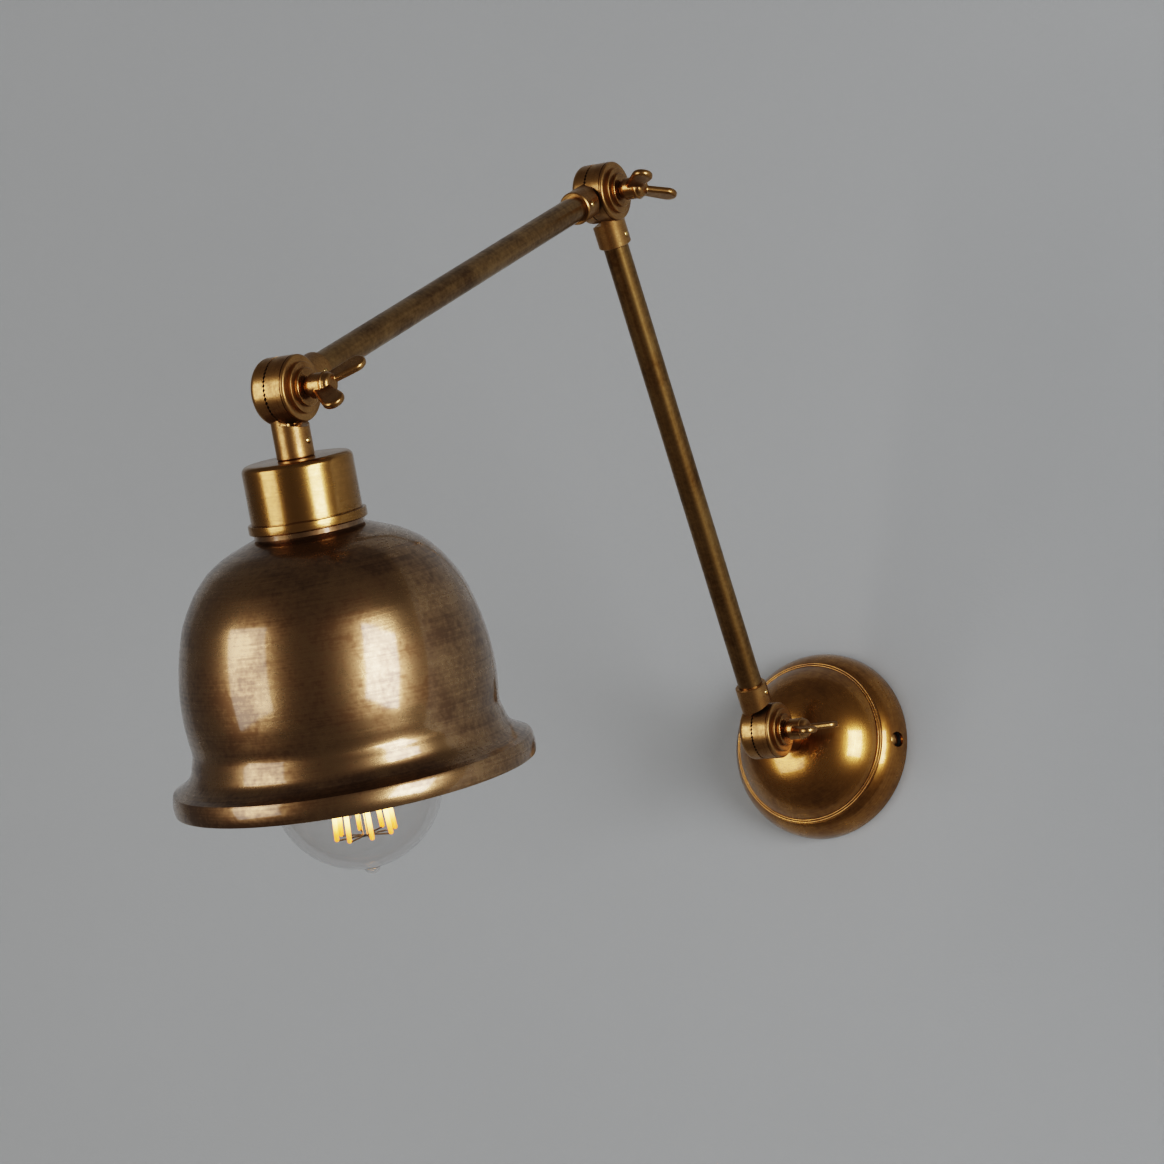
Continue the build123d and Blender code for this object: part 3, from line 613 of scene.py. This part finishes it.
# ---- the pieces ----------------------------------------------------------------------------------
class MakeRose(bpy.types.Operator):
    """Spun wall rose with two fine beads and its side screws"""

    bl_idname = "wall_lamp.make_rose"
    bl_label = "Wall rose"

    def form(self, inset, height):
        """Skirt and dome, moved in by the thickness of the sheet."""
        foot = 50.0 - inset
        shoulder = (42.75 - inset, 17.2 - inset / 2)
        shelf = (41.65 - inset, 17.75 - inset / 2)
        skirt = bow((foot, 1.2), (48.125 - inset, 10.075 - inset / 4), shoulder, 16)
        dome = bow(shelf, ((shelf[0] + 10) / 2 + 2.3, (shelf[1] + height) / 2 + 4.6), (10.0, height), 40)
        return [(foot, 0.0)] + skirt, dome

    def execute(self, context):
        look = colours()
        finish = brass(
            "spun_lacquered_brass", rose_place, look.rose, look.rose_deep,
            clouds=26.0, grain=0.7, lines="turned", roughness=0.24, spread=0.1, relief=0.006, lacquer=0.62,
        )
        skirt, dome = self.form(0.0, 39.5)
        inner_skirt, inner_dome = self.form(1.2, 38.3)
        beads = arc((42.75, 17.2), 0.55, -70, 110, 10) + arc((41.65, 17.75), 0.55, 20, 170, 10)
        outline = skirt[:-1] + beads + dome[1:] + [(5.0, 39.5), (5.0, 38.3)]
        outline += inner_dome[::-1] + inner_skirt[::-1]
        screw_height = 8.6
        level = rose_place @ Matrix.Translation((0, 0, screw_height * MM))
        drill = cutter(
            "drill",
            bmesh.ops.create_cone,
            cap_ends=True,
            segments=48,
            radius1=4 * MM,
            radius2=4 * MM,
            depth=0.2,
            matrix=level @ Matrix.Rotation(math.pi / 2, 4, "Y"),
        )
        mesh = cut_out(turned("rose_cover_spun", outline, rose_place, finish), drill)
        mesh.set_sharp_from_angle(angle=math.radians(24))
        shown("rose_cover_spun", mesh, "wall_mount", "aged_brass", finish, "rose_cover")
        screw = brass(
            "oval_brass_screw", rose_place, look.cast, look.cast_deep,
            clouds=4.0, grain=0.5, lines="", roughness=0.3, spread=0.15, relief=0.01,
        )
        shank = [(2.0, 36.0), (2.0, 44.0), (3.9, 44.0)]
        heads = []
        for side in (1, -1):
            blade = cutter(
                "blade",
                bmesh.ops.create_cube,
                size=MM,
                matrix=level
                @ Matrix.Translation((side * 48.3 * MM, 0, 0))
                @ Matrix.Rotation(math.radians(30), 4, "X")
                @ Matrix.Diagonal((2.2, 9.0, 1.1, 1.0)),
            )
            round_head = domed_screw(
                "side_screw", shank, 46.1, 3.9, 1.9, rose_place, screw_height, side, screw
            )
            heads.append(cut_out(round_head, blade))
        both = joined("rose_side_screws_oval", heads)
        shown("rose_side_screws_oval", both, "wall_mount", "screw_brass", screw, "rose_side_screws")
        return {"FINISHED"}


class FinishMounting(bpy.types.Operator):
    """Bracket, connector block, nipples and wires behind the rose"""

    bl_idname = "wall_lamp.finish_mounting"
    bl_label = "Bracket and wiring"

    def execute(self, context):
        # Pressed mild steel, zinc plated: cool grey with a cloudy spangle.
        finished("wall_bracket", plain("zinc_plated_steel", "#b4b7ba", 0.32, 1.0, 0.18, 3.0))
        # Moulded polypropylene: milky, waxy.
        finished("terminal_block", plain("moulded_polypropylene", "#dedbd0", 0.42))
        finished("earth_screw", plain("plain_brass_screw", "#c9a65c", 0.28, 1.0))
        for node in ("stem_nipple", "stem_washer", "stem_nut", "head_nipple", "head_nut"):
            finished(node, plain("bright_brass_" + node, "#c8a15e", 0.26, 1.0))
        # Extruded PVC flex: soft black with a dull gloss.
        for node in ("wall_flex", "lower_arm_flex", "upper_arm_flex", "head_flex"):
            finished(node, plain("black_pvc_" + node, "#1c1b1a", 0.5))
        finished("wall_flex_cores", plain("core_pvc", "#7a5a3c", 0.45))
        return {"FINISHED"}


class FinishKnuckles(bpy.types.Operator):
    """Serrated knuckle halves, pivot bolts, thrust washers and grub screws"""

    bl_idname = "wall_lamp.finish_knuckles"
    bl_label = "Knuckles"

    def execute(self, context):
        look = colours()
        sockets = (
            ("base_knuckle", base),
            ("lower_arm_foot", base),
            ("lower_arm_head", elbow),
            ("upper_arm_foot", elbow),
            ("upper_arm_head", head),
            ("head_knuckle", head),
        )
        for node, pivot in sockets:
            finish = brass(
                "machined_brass_" + node, along_pivot(pivot), look.cast, look.cast_deep,
                clouds=9.0, grain=0.5, lines="turned", roughness=0.28, spread=0.16, relief=0.01,
            )
            finished(node, finish)
        for node, pivot, body in (
            ("base_thrust_washer", base, "wall_mount"),
            ("elbow_thrust_washer", elbow, "lower_arm"),
            ("head_thrust_washer", head, "upper_arm"),
        ):
            finish = brass(
                "turned_brass_" + node, along_pivot(pivot), look.cast, look.cast_deep,
                clouds=10.0, grain=0.4, lines="turned", roughness=0.22, spread=0.14, relief=0.01,
            )
            outline = [(3.2, 11.8), (8.2, 11.8)] + arc((7.9, 12.9), 0.5, 0, 90, 6) + [(3.2, 13.4)]
            lathe_piece(
                node + "_turned", outline, along_pivot(pivot), body, "aged_brass", finish, node, segments=96
            )
        bolts = (("base_pivot_bolt", base), ("elbow_pivot_bolt", elbow), ("head_pivot_bolt", head))
        for node, pivot in bolts:
            finished(
                node,
                brass(
                    "slotted_bolt_" + node, along_pivot(pivot), look.cup, look.cast_deep,
                    clouds=8.0, grain=0.4, lines="turned", roughness=0.2, spread=0.1, relief=0.01,
                ),
            )
        reach = 22.6
        base_height = 44.4
        both_ends = (reach, arm_length - reach)
        grubs = (
            ("base_grub_screw", "wall_mount", rose_place, (base_height,)),
            ("lower_arm_grub_screws", "lower_arm", lower_place, both_ends),
            ("upper_arm_grub_screws", "upper_arm", upper_place, both_ends),
            ("head_grub_screw", "head", head_place, (reach,)),
        )
        # Bright turned brass, hardly tarnished.
        bright = plain("bright_screw_brass", "#dcb87c", 0.18, 1.0)
        for node, body, placement, heights in grubs:
            screws = [
                domed_screw(node, [(1.4, 5.6)], 8.1, 1.4, 0.65, placement, height, 1, bright)
                for height in heights
            ]
            shown(node + "_domed", joined(node, screws), body, "screw_brass", bright, node)
        return {"FINISHED"}


class MakeWingNuts(bpy.types.Operator):
    """Cast wing nuts with blended ears"""

    bl_idname = "wall_lamp.make_wing_nuts"
    bl_label = "Wing nuts"

    def execute(self, context):
        look = colours()
        for node, pivot, body in (
            ("base_wing_nut", base, "base_nut"),
            ("elbow_wing_nut", elbow, "elbow_nut"),
            ("head_wing_nut", head, "head_nut_body"),
        ):
            finish = brass(
                "cast_brass_" + node, along_pivot(pivot), look.cast, look.cast_deep,
                clouds=7.0, grain=0.8, lines="", roughness=0.24, spread=0.12, relief=0.012,
            )
            carrier = carried(merged_copy(node))
            blend = carrier.modifiers.new("blend", "REMESH")
            blend.mode = "VOXEL"
            blend.voxel_size = sizes().cast_grain
            soften = carrier.modifiers.new("soften", "SMOOTH")
            soften.factor = 0.5
            soften.iterations = 5
            mesh = evaluated(carrier)
            mesh.shade_smooth()
            held_in_box(mesh, node)
            shown(node + "_cast", mesh, body, "aged_brass", finish, node)
        return {"FINISHED"}


class MakeArms(bpy.types.Operator):
    """Drawn brass arm tubes"""

    bl_idname = "wall_lamp.make_arms"
    bl_label = "Arm tubes"

    def execute(self, context):
        look = colours()
        outer = sizes().tube_diameter / 2 / MM
        bore = outer - sizes().tube_wall / MM
        start = sizes().socket_end / MM
        end = arm_length - start
        outline = [(bore, start), (outer - 0.3, start), (outer, start + 0.3)]
        outline += [(outer, start + (end - start) * step / 8) for step in range(1, 8)]
        outline += [(outer, end - 0.3), (outer - 0.3, end), (bore, end)]
        for node, placement, body in (
            ("lower_arm_tube", lower_place, "lower_arm"),
            ("upper_arm_tube", upper_place, "upper_arm"),
        ):
            finish = brass(
                "drawn_brass_" + node, placement, look.tube, look.tube_deep,
                clouds=17.0, grain=1.6, lines="drawn", roughness=0.28, spread=0.16, relief=0.006,
                lacquer=0.3,
            )
            lathe_piece(node + "_drawn", outline, placement, body, "brass_tube", finish, node, segments=96)
        return {"FINISHED"}


class MakeLampholder(bpy.types.Operator):
    """Turned cup, lampholder body and its screw shell"""

    bl_idname = "wall_lamp.make_lampholder"
    bl_label = "Cup and lampholder"

    def execute(self, context):
        look = colours()
        finish = brass(
            "turned_lacquered_brass", head_place, look.cup, look.cup_deep,
            clouds=22.0, grain=0.6, lines="turned", roughness=0.2, spread=0.1, relief=0.008, lacquer=0.35,
        )
        outline = [(5.0, 29.5)] + arc((21.3, 32.5), 3.0, -90, 0, 10)
        outline += [(24.3, 54.5), (24.05, 54.65), (24.05, 54.85)]
        outline += arc((25.4, 55.3), 0.5, -90, 0, 5) + arc((25.4, 58.4), 0.5, 0, 90, 5) + [(23.1, 58.9)]
        outline += arc((21.3, 32.5), 1.8, 0, -90, 8) + [(5.0, 30.7)]
        lathe_piece("cup_cover_turned", outline, head_place, "head", "turned_brass", finish, "cup_cover")
        # Moulded phenolic: near black with a soft gloss.
        phenolic = plain("moulded_phenolic", "#1d1815", 0.34)
        outline = [(5.0, 34.7), (8.0, 34.7), (8.0, 36.5)] + arc((17.0, 38.0), 1.5, -90, 0, 6)
        outline += [(18.5, 50.5), (17.0, 50.5), (17.0, 38.0), (5.0, 38.0)]
        lathe_piece(
            "lampholder_cap_moulded", outline, head_place, "head", "lampholder_phenolic", phenolic,
            "lampholder_cap", segments=96,
        )
        # Screw thread for the shade ring: 2.5 mm pitch, 0.5 mm deep.
        depth, pitch, steps, turns = 0.5, 2.5, 6, 12
        waves = ((1 - math.cos(step * math.tau / steps)) / 2 for step in range(steps * turns + 1))
        thread = [(19.0 - depth * wave, 58.0 + step * pitch / steps) for step, wave in enumerate(waves)]
        outline = [(16.0, 50.5), (19.0, 50.5)] + thread + [(19.0, 96.9), (18.4, 97.5), (16.0, 97.5)]
        lathe_piece(
            "lampholder_skirt_threaded", outline, head_place, "head", "lampholder_phenolic", phenolic,
            "lampholder_skirt", corner=50.0, segments=96,
        )
        # Glazed porcelain: white, wet gloss.
        finished("lampholder_insert", plain("glazed_porcelain", "#e8e4da", 0.16))
        finished("lampholder_contact", plain("contact_brass", "#c8a55e", 0.25, 1.0))
        shell = plain("pressed_brass_shell", "#c8a35c", 0.27, 1.0)
        wave = [(13.75 + 0.35 * math.cos(step * math.pi / 4), 66.5 + step * 27.0 / 56) for step in range(57)]
        outline = wave + [(radius + 0.6, height) for radius, height in wave[::-1]]
        lathe_piece(
            "lampholder_screw_shell_pressed", outline, head_place, "head", "plain_brass", shell,
            "lampholder_screw_shell", corner=60.0, segments=96,
        )
        finished(
            "shade_ring",
            brass(
                "moulded_ring", head_place, look.cup, look.cast_deep,
                clouds=12.0, grain=0.6, lines="", roughness=0.25, spread=0.1, relief=0.01,
            ),
        )
        return {"FINISHED"}


class MakeShade(bpy.types.Operator):
    """Spun shade with its dome, waist, flare and upright band"""

    bl_idname = "wall_lamp.make_shade"
    bl_label = "Shade"

    def execute(self, context):
        look = colours()
        wall = sizes().shade_wall / MM
        guide = [
            (24.2, 61.2), (26.5, 62.1), (32.0, 64.3), (39.1, 67.3), (46.4, 72.0), (50.3, 75.7), (54.9, 81.2),
            (61.0, 91.7), (64.2, 100.9), (66.5, 110.4), (68.3, 122.3), (68.7, 133.4), (68.2, 141.4),
            (67.6, 148.2), (68.6, 152.2), (69.9, 156.6), (71.9, 159.4), (75.7, 162.1), (77.9, 163.2),
            (78.8, 163.6),
        ]
        # Kept just inside the flat facets of the CAD's curve.
        outer = [(radius - 0.08, height) for radius, height in flowing(guide, 8)]
        band = bow((78.92, 164.0), (79.72, 168.2), (79.41, 172.2), 10)
        inner = inward(outer, wall)
        inner_band = [(radius - wall, height) for radius, height in band[1:]]
        outline = [(19.25, 58.9), (23.9, 58.9), (24.2, 59.2)] + outer + band
        outline += arc((78.94, 172.2), 0.47, 15, 165, 6) + inner_band[::-1] + inner[:0:-1]
        outline += [(23.1, 60.9), (23.1, 60.0), (19.25, 60.0)]
        finish = brass(
            "patinated_spun_brass", head_place, look.patina, look.patina_deep,
            clouds=21.0, grain=1.1, lines="turned", roughness=0.25, spread=0.13, relief=0.008, lacquer=0.8,
            wear=0.2,
        )
        lathe_piece(
            "shade_spun", outline, head_place, "head", "patinated_brass", finish, "shade", segments=256
        )
        return {"FINISHED"}


class MakeBulb(bpy.types.Operator):
    """Clear globe, its stem, screw cap and contact"""

    bl_idname = "wall_lamp.make_bulb"
    bl_label = "Bulb"

    def globe(self, radius, neck, start, centre):
        """Neck, shoulder and globe down to near the axis."""
        join = math.radians(35)
        first = Vector((neck, 104.5))
        last = Vector((radius * math.cos(join), centre - radius * math.sin(join)))
        reach = (last - first).length * 0.36
        handles = (first + Vector((0, reach)), last - Vector((math.sin(join), math.cos(join))) * reach)
        line = [(neck, start)]
        for step in range(25):
            t = step / 24
            point = first * (1 - t) ** 3 + handles[0] * (3 * t * (1 - t) ** 2)
            point += handles[1] * (3 * t * t * (1 - t)) + last * t**3
            line.append(tuple(point))
        return line + arc((0, centre), radius, -35, 82, 44)[1:]

    def execute(self, context):
        glass = clear_glass()
        radius = sizes().bulb_radius / MM
        wall = sizes().glass_wall / MM
        neck, foot, centre = 12.7, 94.5, 173.5
        outer = self.globe(radius, neck, foot, centre)
        pip = [(4.6, 210.8), (4.0, 211.2)] + arc((0, 210.6), 3.6, 25, 90, 8)
        inner = self.globe(radius - wall, neck - wall, foot, centre)
        inner += [(3.6, 210.2), (3.1, 210.7)] + arc((0, 210.2), 3.0, 25, 90, 6)
        lathe_piece(
            "bulb_glass_blown", inner[::-1] + outer + pip, head_place, "head", "clear_glass", glass,
            "bulb_glass", corner=50.0, segments=144, ring=False,
        )
        stem = [
            (0.0, 99.0), (12.1, 99.0), (12.1, 99.8), (9.0, 101.5), (6.0, 106.0), (4.2, 112.0), (3.0, 120.0),
            (3.0, 158.5), (2.7, 161.0), (1.9, 163.2), (1.6, 165.5), (1.6, 196.4), (1.1, 197.1), (0.0, 197.1),
        ]
        lathe_piece(
            "bulb_stem_pressed", stem, head_place, "head", "clear_glass", glass,
            "bulb_stem", corner=50.0, segments=64, ring=False,
        )
        # Nickel plated brass cap: warm grey, bright, with the rounded thread of a screw lamp.
        nickel = plain("nickel_plated_cap", "#c9c2b4", 0.22, 1.0)
        wave = [(12.75 + 0.42 * math.cos(step * math.pi / 4), 76.0 + step * 18.0 / 40) for step in range(41)]
        outline = [(0.0, 74.0), (9.0, 74.0), (12.2, 75.6)] + wave
        outline += [(13.1, 95.0), (13.1, 98.5), (12.75, 98.5)]
        outline += [(12.75, 95.4)] + [(across - 0.5, height) for across, height in wave[::-1]]
        outline += [(8.8, 74.6), (0.0, 74.6)]
        lathe_piece(
            "bulb_cap_pressed", outline, head_place, "head", "nickel_cap", nickel,
            "bulb_cap", corner=60.0, segments=96, ring=False,
        )
        finished("bulb_contact", plain("tinned_contact", "#a9a59b", 0.3, 1.0))
        return {"FINISHED"}


class MakeLightSticks(bpy.types.Operator):
    """Ring of glowing light sticks with their supports"""

    bl_idname = "wall_lamp.make_light_sticks"
    bl_label = "Light sticks"

    def execute(self, context):
        thick = sizes().stick_radius / MM
        length = 38.0
        foot, top = 197.1, 159.2
        foot_radius, top_radius = 13.2, 10.5
        tilt = math.asin((foot_radius - top_radius) / length)
        outline = [(0.0, -length)] + arc((0, thick - length), thick, -70, 0, 4)
        outline += arc((0, -thick), thick, 0, 70, 4) + [(0.0, 0.0)]
        glow = glowing_phosphor(colours().glow, foot, top)
        spot = Matrix.Translation((foot_radius * MM, 0, foot * MM)) @ Matrix.Rotation(tilt, 4, "Y")
        stick = turned("light_stick", outline, spot, glow, corner=60.0, segments=16, ring=False)
        mesh = through_tree(stick, ring_tree(), {"Count": sizes().stick_count, "Finish": glow})
        mesh.transform(head_place)
        facing_out(mesh)
        shown("bulb_filaments_coated", mesh, "head", "glowing_filament", glow, "bulb_filaments")
        finished("filament_supports", plain("support_nickel", "#6b6258", 0.35, 1.0))
        return {"FINISHED"}


class SetStage(bpy.types.Operator):
    """Grey wall, pale floor, soft lights and the camera"""

    bl_idname = "wall_lamp.set_stage"
    bl_label = "Stage"

    def sheet(self, name, corners, colour, roughness, one_sided):
        """A flat backdrop."""
        mesh = bpy.data.meshes.new(name)
        mesh.from_pydata(corners, [], [(0, 1, 2, 3)])
        material, tree, shader = surface(name + "_paint")
        point = add(tree, "ShaderNodeTexCoord", {}, {}).outputs["Object"]
        uneven = noise(tree, point, 160.0, 3.0, 0.992, 1.008)
        hue = add(tree, "ShaderNodeHueSaturation", {}, {"Color": opaque(colour), "Value": uneven}).outputs[0]
        grain = noise(tree, point, 2.4, 5.0, 0.0, 1.0)
        stipple = add(tree, "ShaderNodeBump", {}, {"Strength": 0.4, "Distance": 0.12 * MM, "Height": grain})
        tree.links.new(hue, shader.inputs["Base Color"])
        tree.links.new(stipple.outputs[0], shader.inputs["Normal"])
        shader.inputs["Roughness"].default_value = roughness
        if one_sided:
            back = add(tree, "ShaderNodeNewGeometry", {}, {}).outputs["Backfacing"]
            clear = add(tree, "ShaderNodeBsdfTransparent", {}, {})
            both = add(tree, "ShaderNodeMixShader", {}, {0: back, 1: shader.outputs[0], 2: clear.outputs[0]})
            tree.links.new(both.outputs[0], tree.nodes["Material Output"].inputs["Surface"])
        mesh.materials.append(material)
        backdrop = bpy.data.objects.new(name, mesh)
        bpy.context.scene.collection.objects.link(backdrop)
        backdrop.visible_glossy = one_sided

    def softbox(self, name, position, target, width, height, power, colour, mirrored):
        """A rectangular area light that faces the lamp."""
        light = bpy.data.lights.new(name, "AREA")
        light.shape = "RECTANGLE"
        light.size = width
        light.size_y = height
        light.energy = power
        light.color = colour
        lamp = bpy.data.objects.new(name, light)
        lamp.location = position
        lamp.rotation_euler = (Vector(target) - Vector(position)).to_track_quat("-Z", "Y").to_euler()
        lamp.visible_glossy = mirrored
        bpy.context.scene.collection.objects.link(lamp)

    def execute(self, context):
        stage = context.scene.lamp_stage
        wall_y = 0.0004
        wall_top = 1.6
        floor_z = -1.15
        floor_front = -3.0
        side = 2.2
        wall = [(-side, wall_y, floor_z), (side, wall_y, floor_z)]
        wall += [(side, wall_y, wall_top), (-side, wall_y, wall_top)]
        floor = [(-side, floor_front, floor_z), (side, floor_front, floor_z)]
        floor += [(side, wall_y, floor_z), (-side, wall_y, floor_z)]
        self.sheet("wall", wall, stage.wall, 0.85, True)
        self.sheet("floor", floor, stage.floor, 0.7, False)
        shade_middle = head_place @ Vector((0, 0, 0.12))
        white = linear("#ffffff")
        warm = linear("#fffaf4")
        right, left, fill = stage.right_light, stage.left_light, stage.fill_light
        for name, position, target, width, height, watts, colour, mirrored in (
            ("right_softbox", (3.155, -1.768, -0.05), shade_middle, 1.45, 2.05, right, white, True),
            ("left_softbox", (-1.62, -3.02, -0.25), shade_middle, 1.8, 2.3, left, warm, True),
            ("fill", (0.2, -3.2, 2.4), Vector(), 2.6, 1.6, fill, white, False),
        ):
            self.softbox(name, position, target, width, height, watts, colour, mirrored)
        world = bpy.data.worlds.new("room")
        world.use_nodes = True
        world.node_tree.nodes["Background"].inputs["Color"].default_value = (0.13, 0.125, 0.12, 1)
        context.scene.world = world
        context.scene.view_settings.view_transform = "Filmic"
        context.scene.view_settings.look = "High Contrast"
        camera = bpy.data.cameras.new("camera")
        camera.lens = stage.lens
        camera.sensor_width = 36.0
        viewer = bpy.data.objects.new("camera", camera)
        level = math.cos(stage.elevation)
        azimuth = stage.azimuth
        back = Vector((math.sin(azimuth) * level, -math.cos(azimuth) * level, math.sin(stage.elevation)))
        right = (-back).cross(Vector((0, 0, 1))).normalized()
        up = right.cross(-back)
        across = math.cos(stage.roll) * right + math.sin(stage.roll) * up
        upward = math.cos(stage.roll) * up - math.sin(stage.roll) * right
        facing = Matrix((across, upward, back)).transposed().to_4x4()
        viewer.matrix_world = Matrix.Translation(stage.camera_place) @ facing
        bpy.context.scene.collection.objects.link(viewer)
        context.scene.camera = viewer
        return {"FINISHED"}


OPERATORS = (
    MakeRose,
    FinishMounting,
    FinishKnuckles,
    MakeWingNuts,
    MakeArms,
    MakeLampholder,
    MakeShade,
    MakeBulb,
    MakeLightSticks,
    SetStage,
)


class LampPanel(bpy.types.Panel):
    """Buttons and values of the wall lamp"""

    bl_idname = "VIEW3D_PT_wall_lamp"
    bl_label = "Wall Lamp"
    bl_space_type = "VIEW_3D"
    bl_region_type = "UI"
    bl_category = "Wall Lamp"

    def draw(self, context):
        for group in (context.scene.lamp_sizes, context.scene.lamp_colours, context.scene.lamp_stage):
            box = self.layout.box()
            for field in group.bl_rna.properties:
                if field.identifier not in {"rna_type", "name"}:
                    box.prop(group, field.identifier)
        for operator in OPERATORS:
            self.layout.operator(operator.bl_idname)


GROUPS = {"lamp_sizes": LampSizes, "lamp_colours": LampColours, "lamp_stage": LampStage}


def register():
    for group in (*GROUPS.values(), *OPERATORS, LampPanel):
        bpy.utils.register_class(group)
    for name, group in GROUPS.items():
        setattr(bpy.types.Scene, name, PointerProperty(type=group))


def unregister():
    for name in GROUPS:
        delattr(bpy.types.Scene, name)
    for group in (LampPanel, *reversed(OPERATORS), *GROUPS.values()):
        bpy.utils.unregister_class(group)


def main():
    register()
    for operator in OPERATORS:
        group, name = operator.bl_idname.split(".")
        getattr(getattr(bpy.ops, group), name)()


if __name__ == "__main__":
    main()
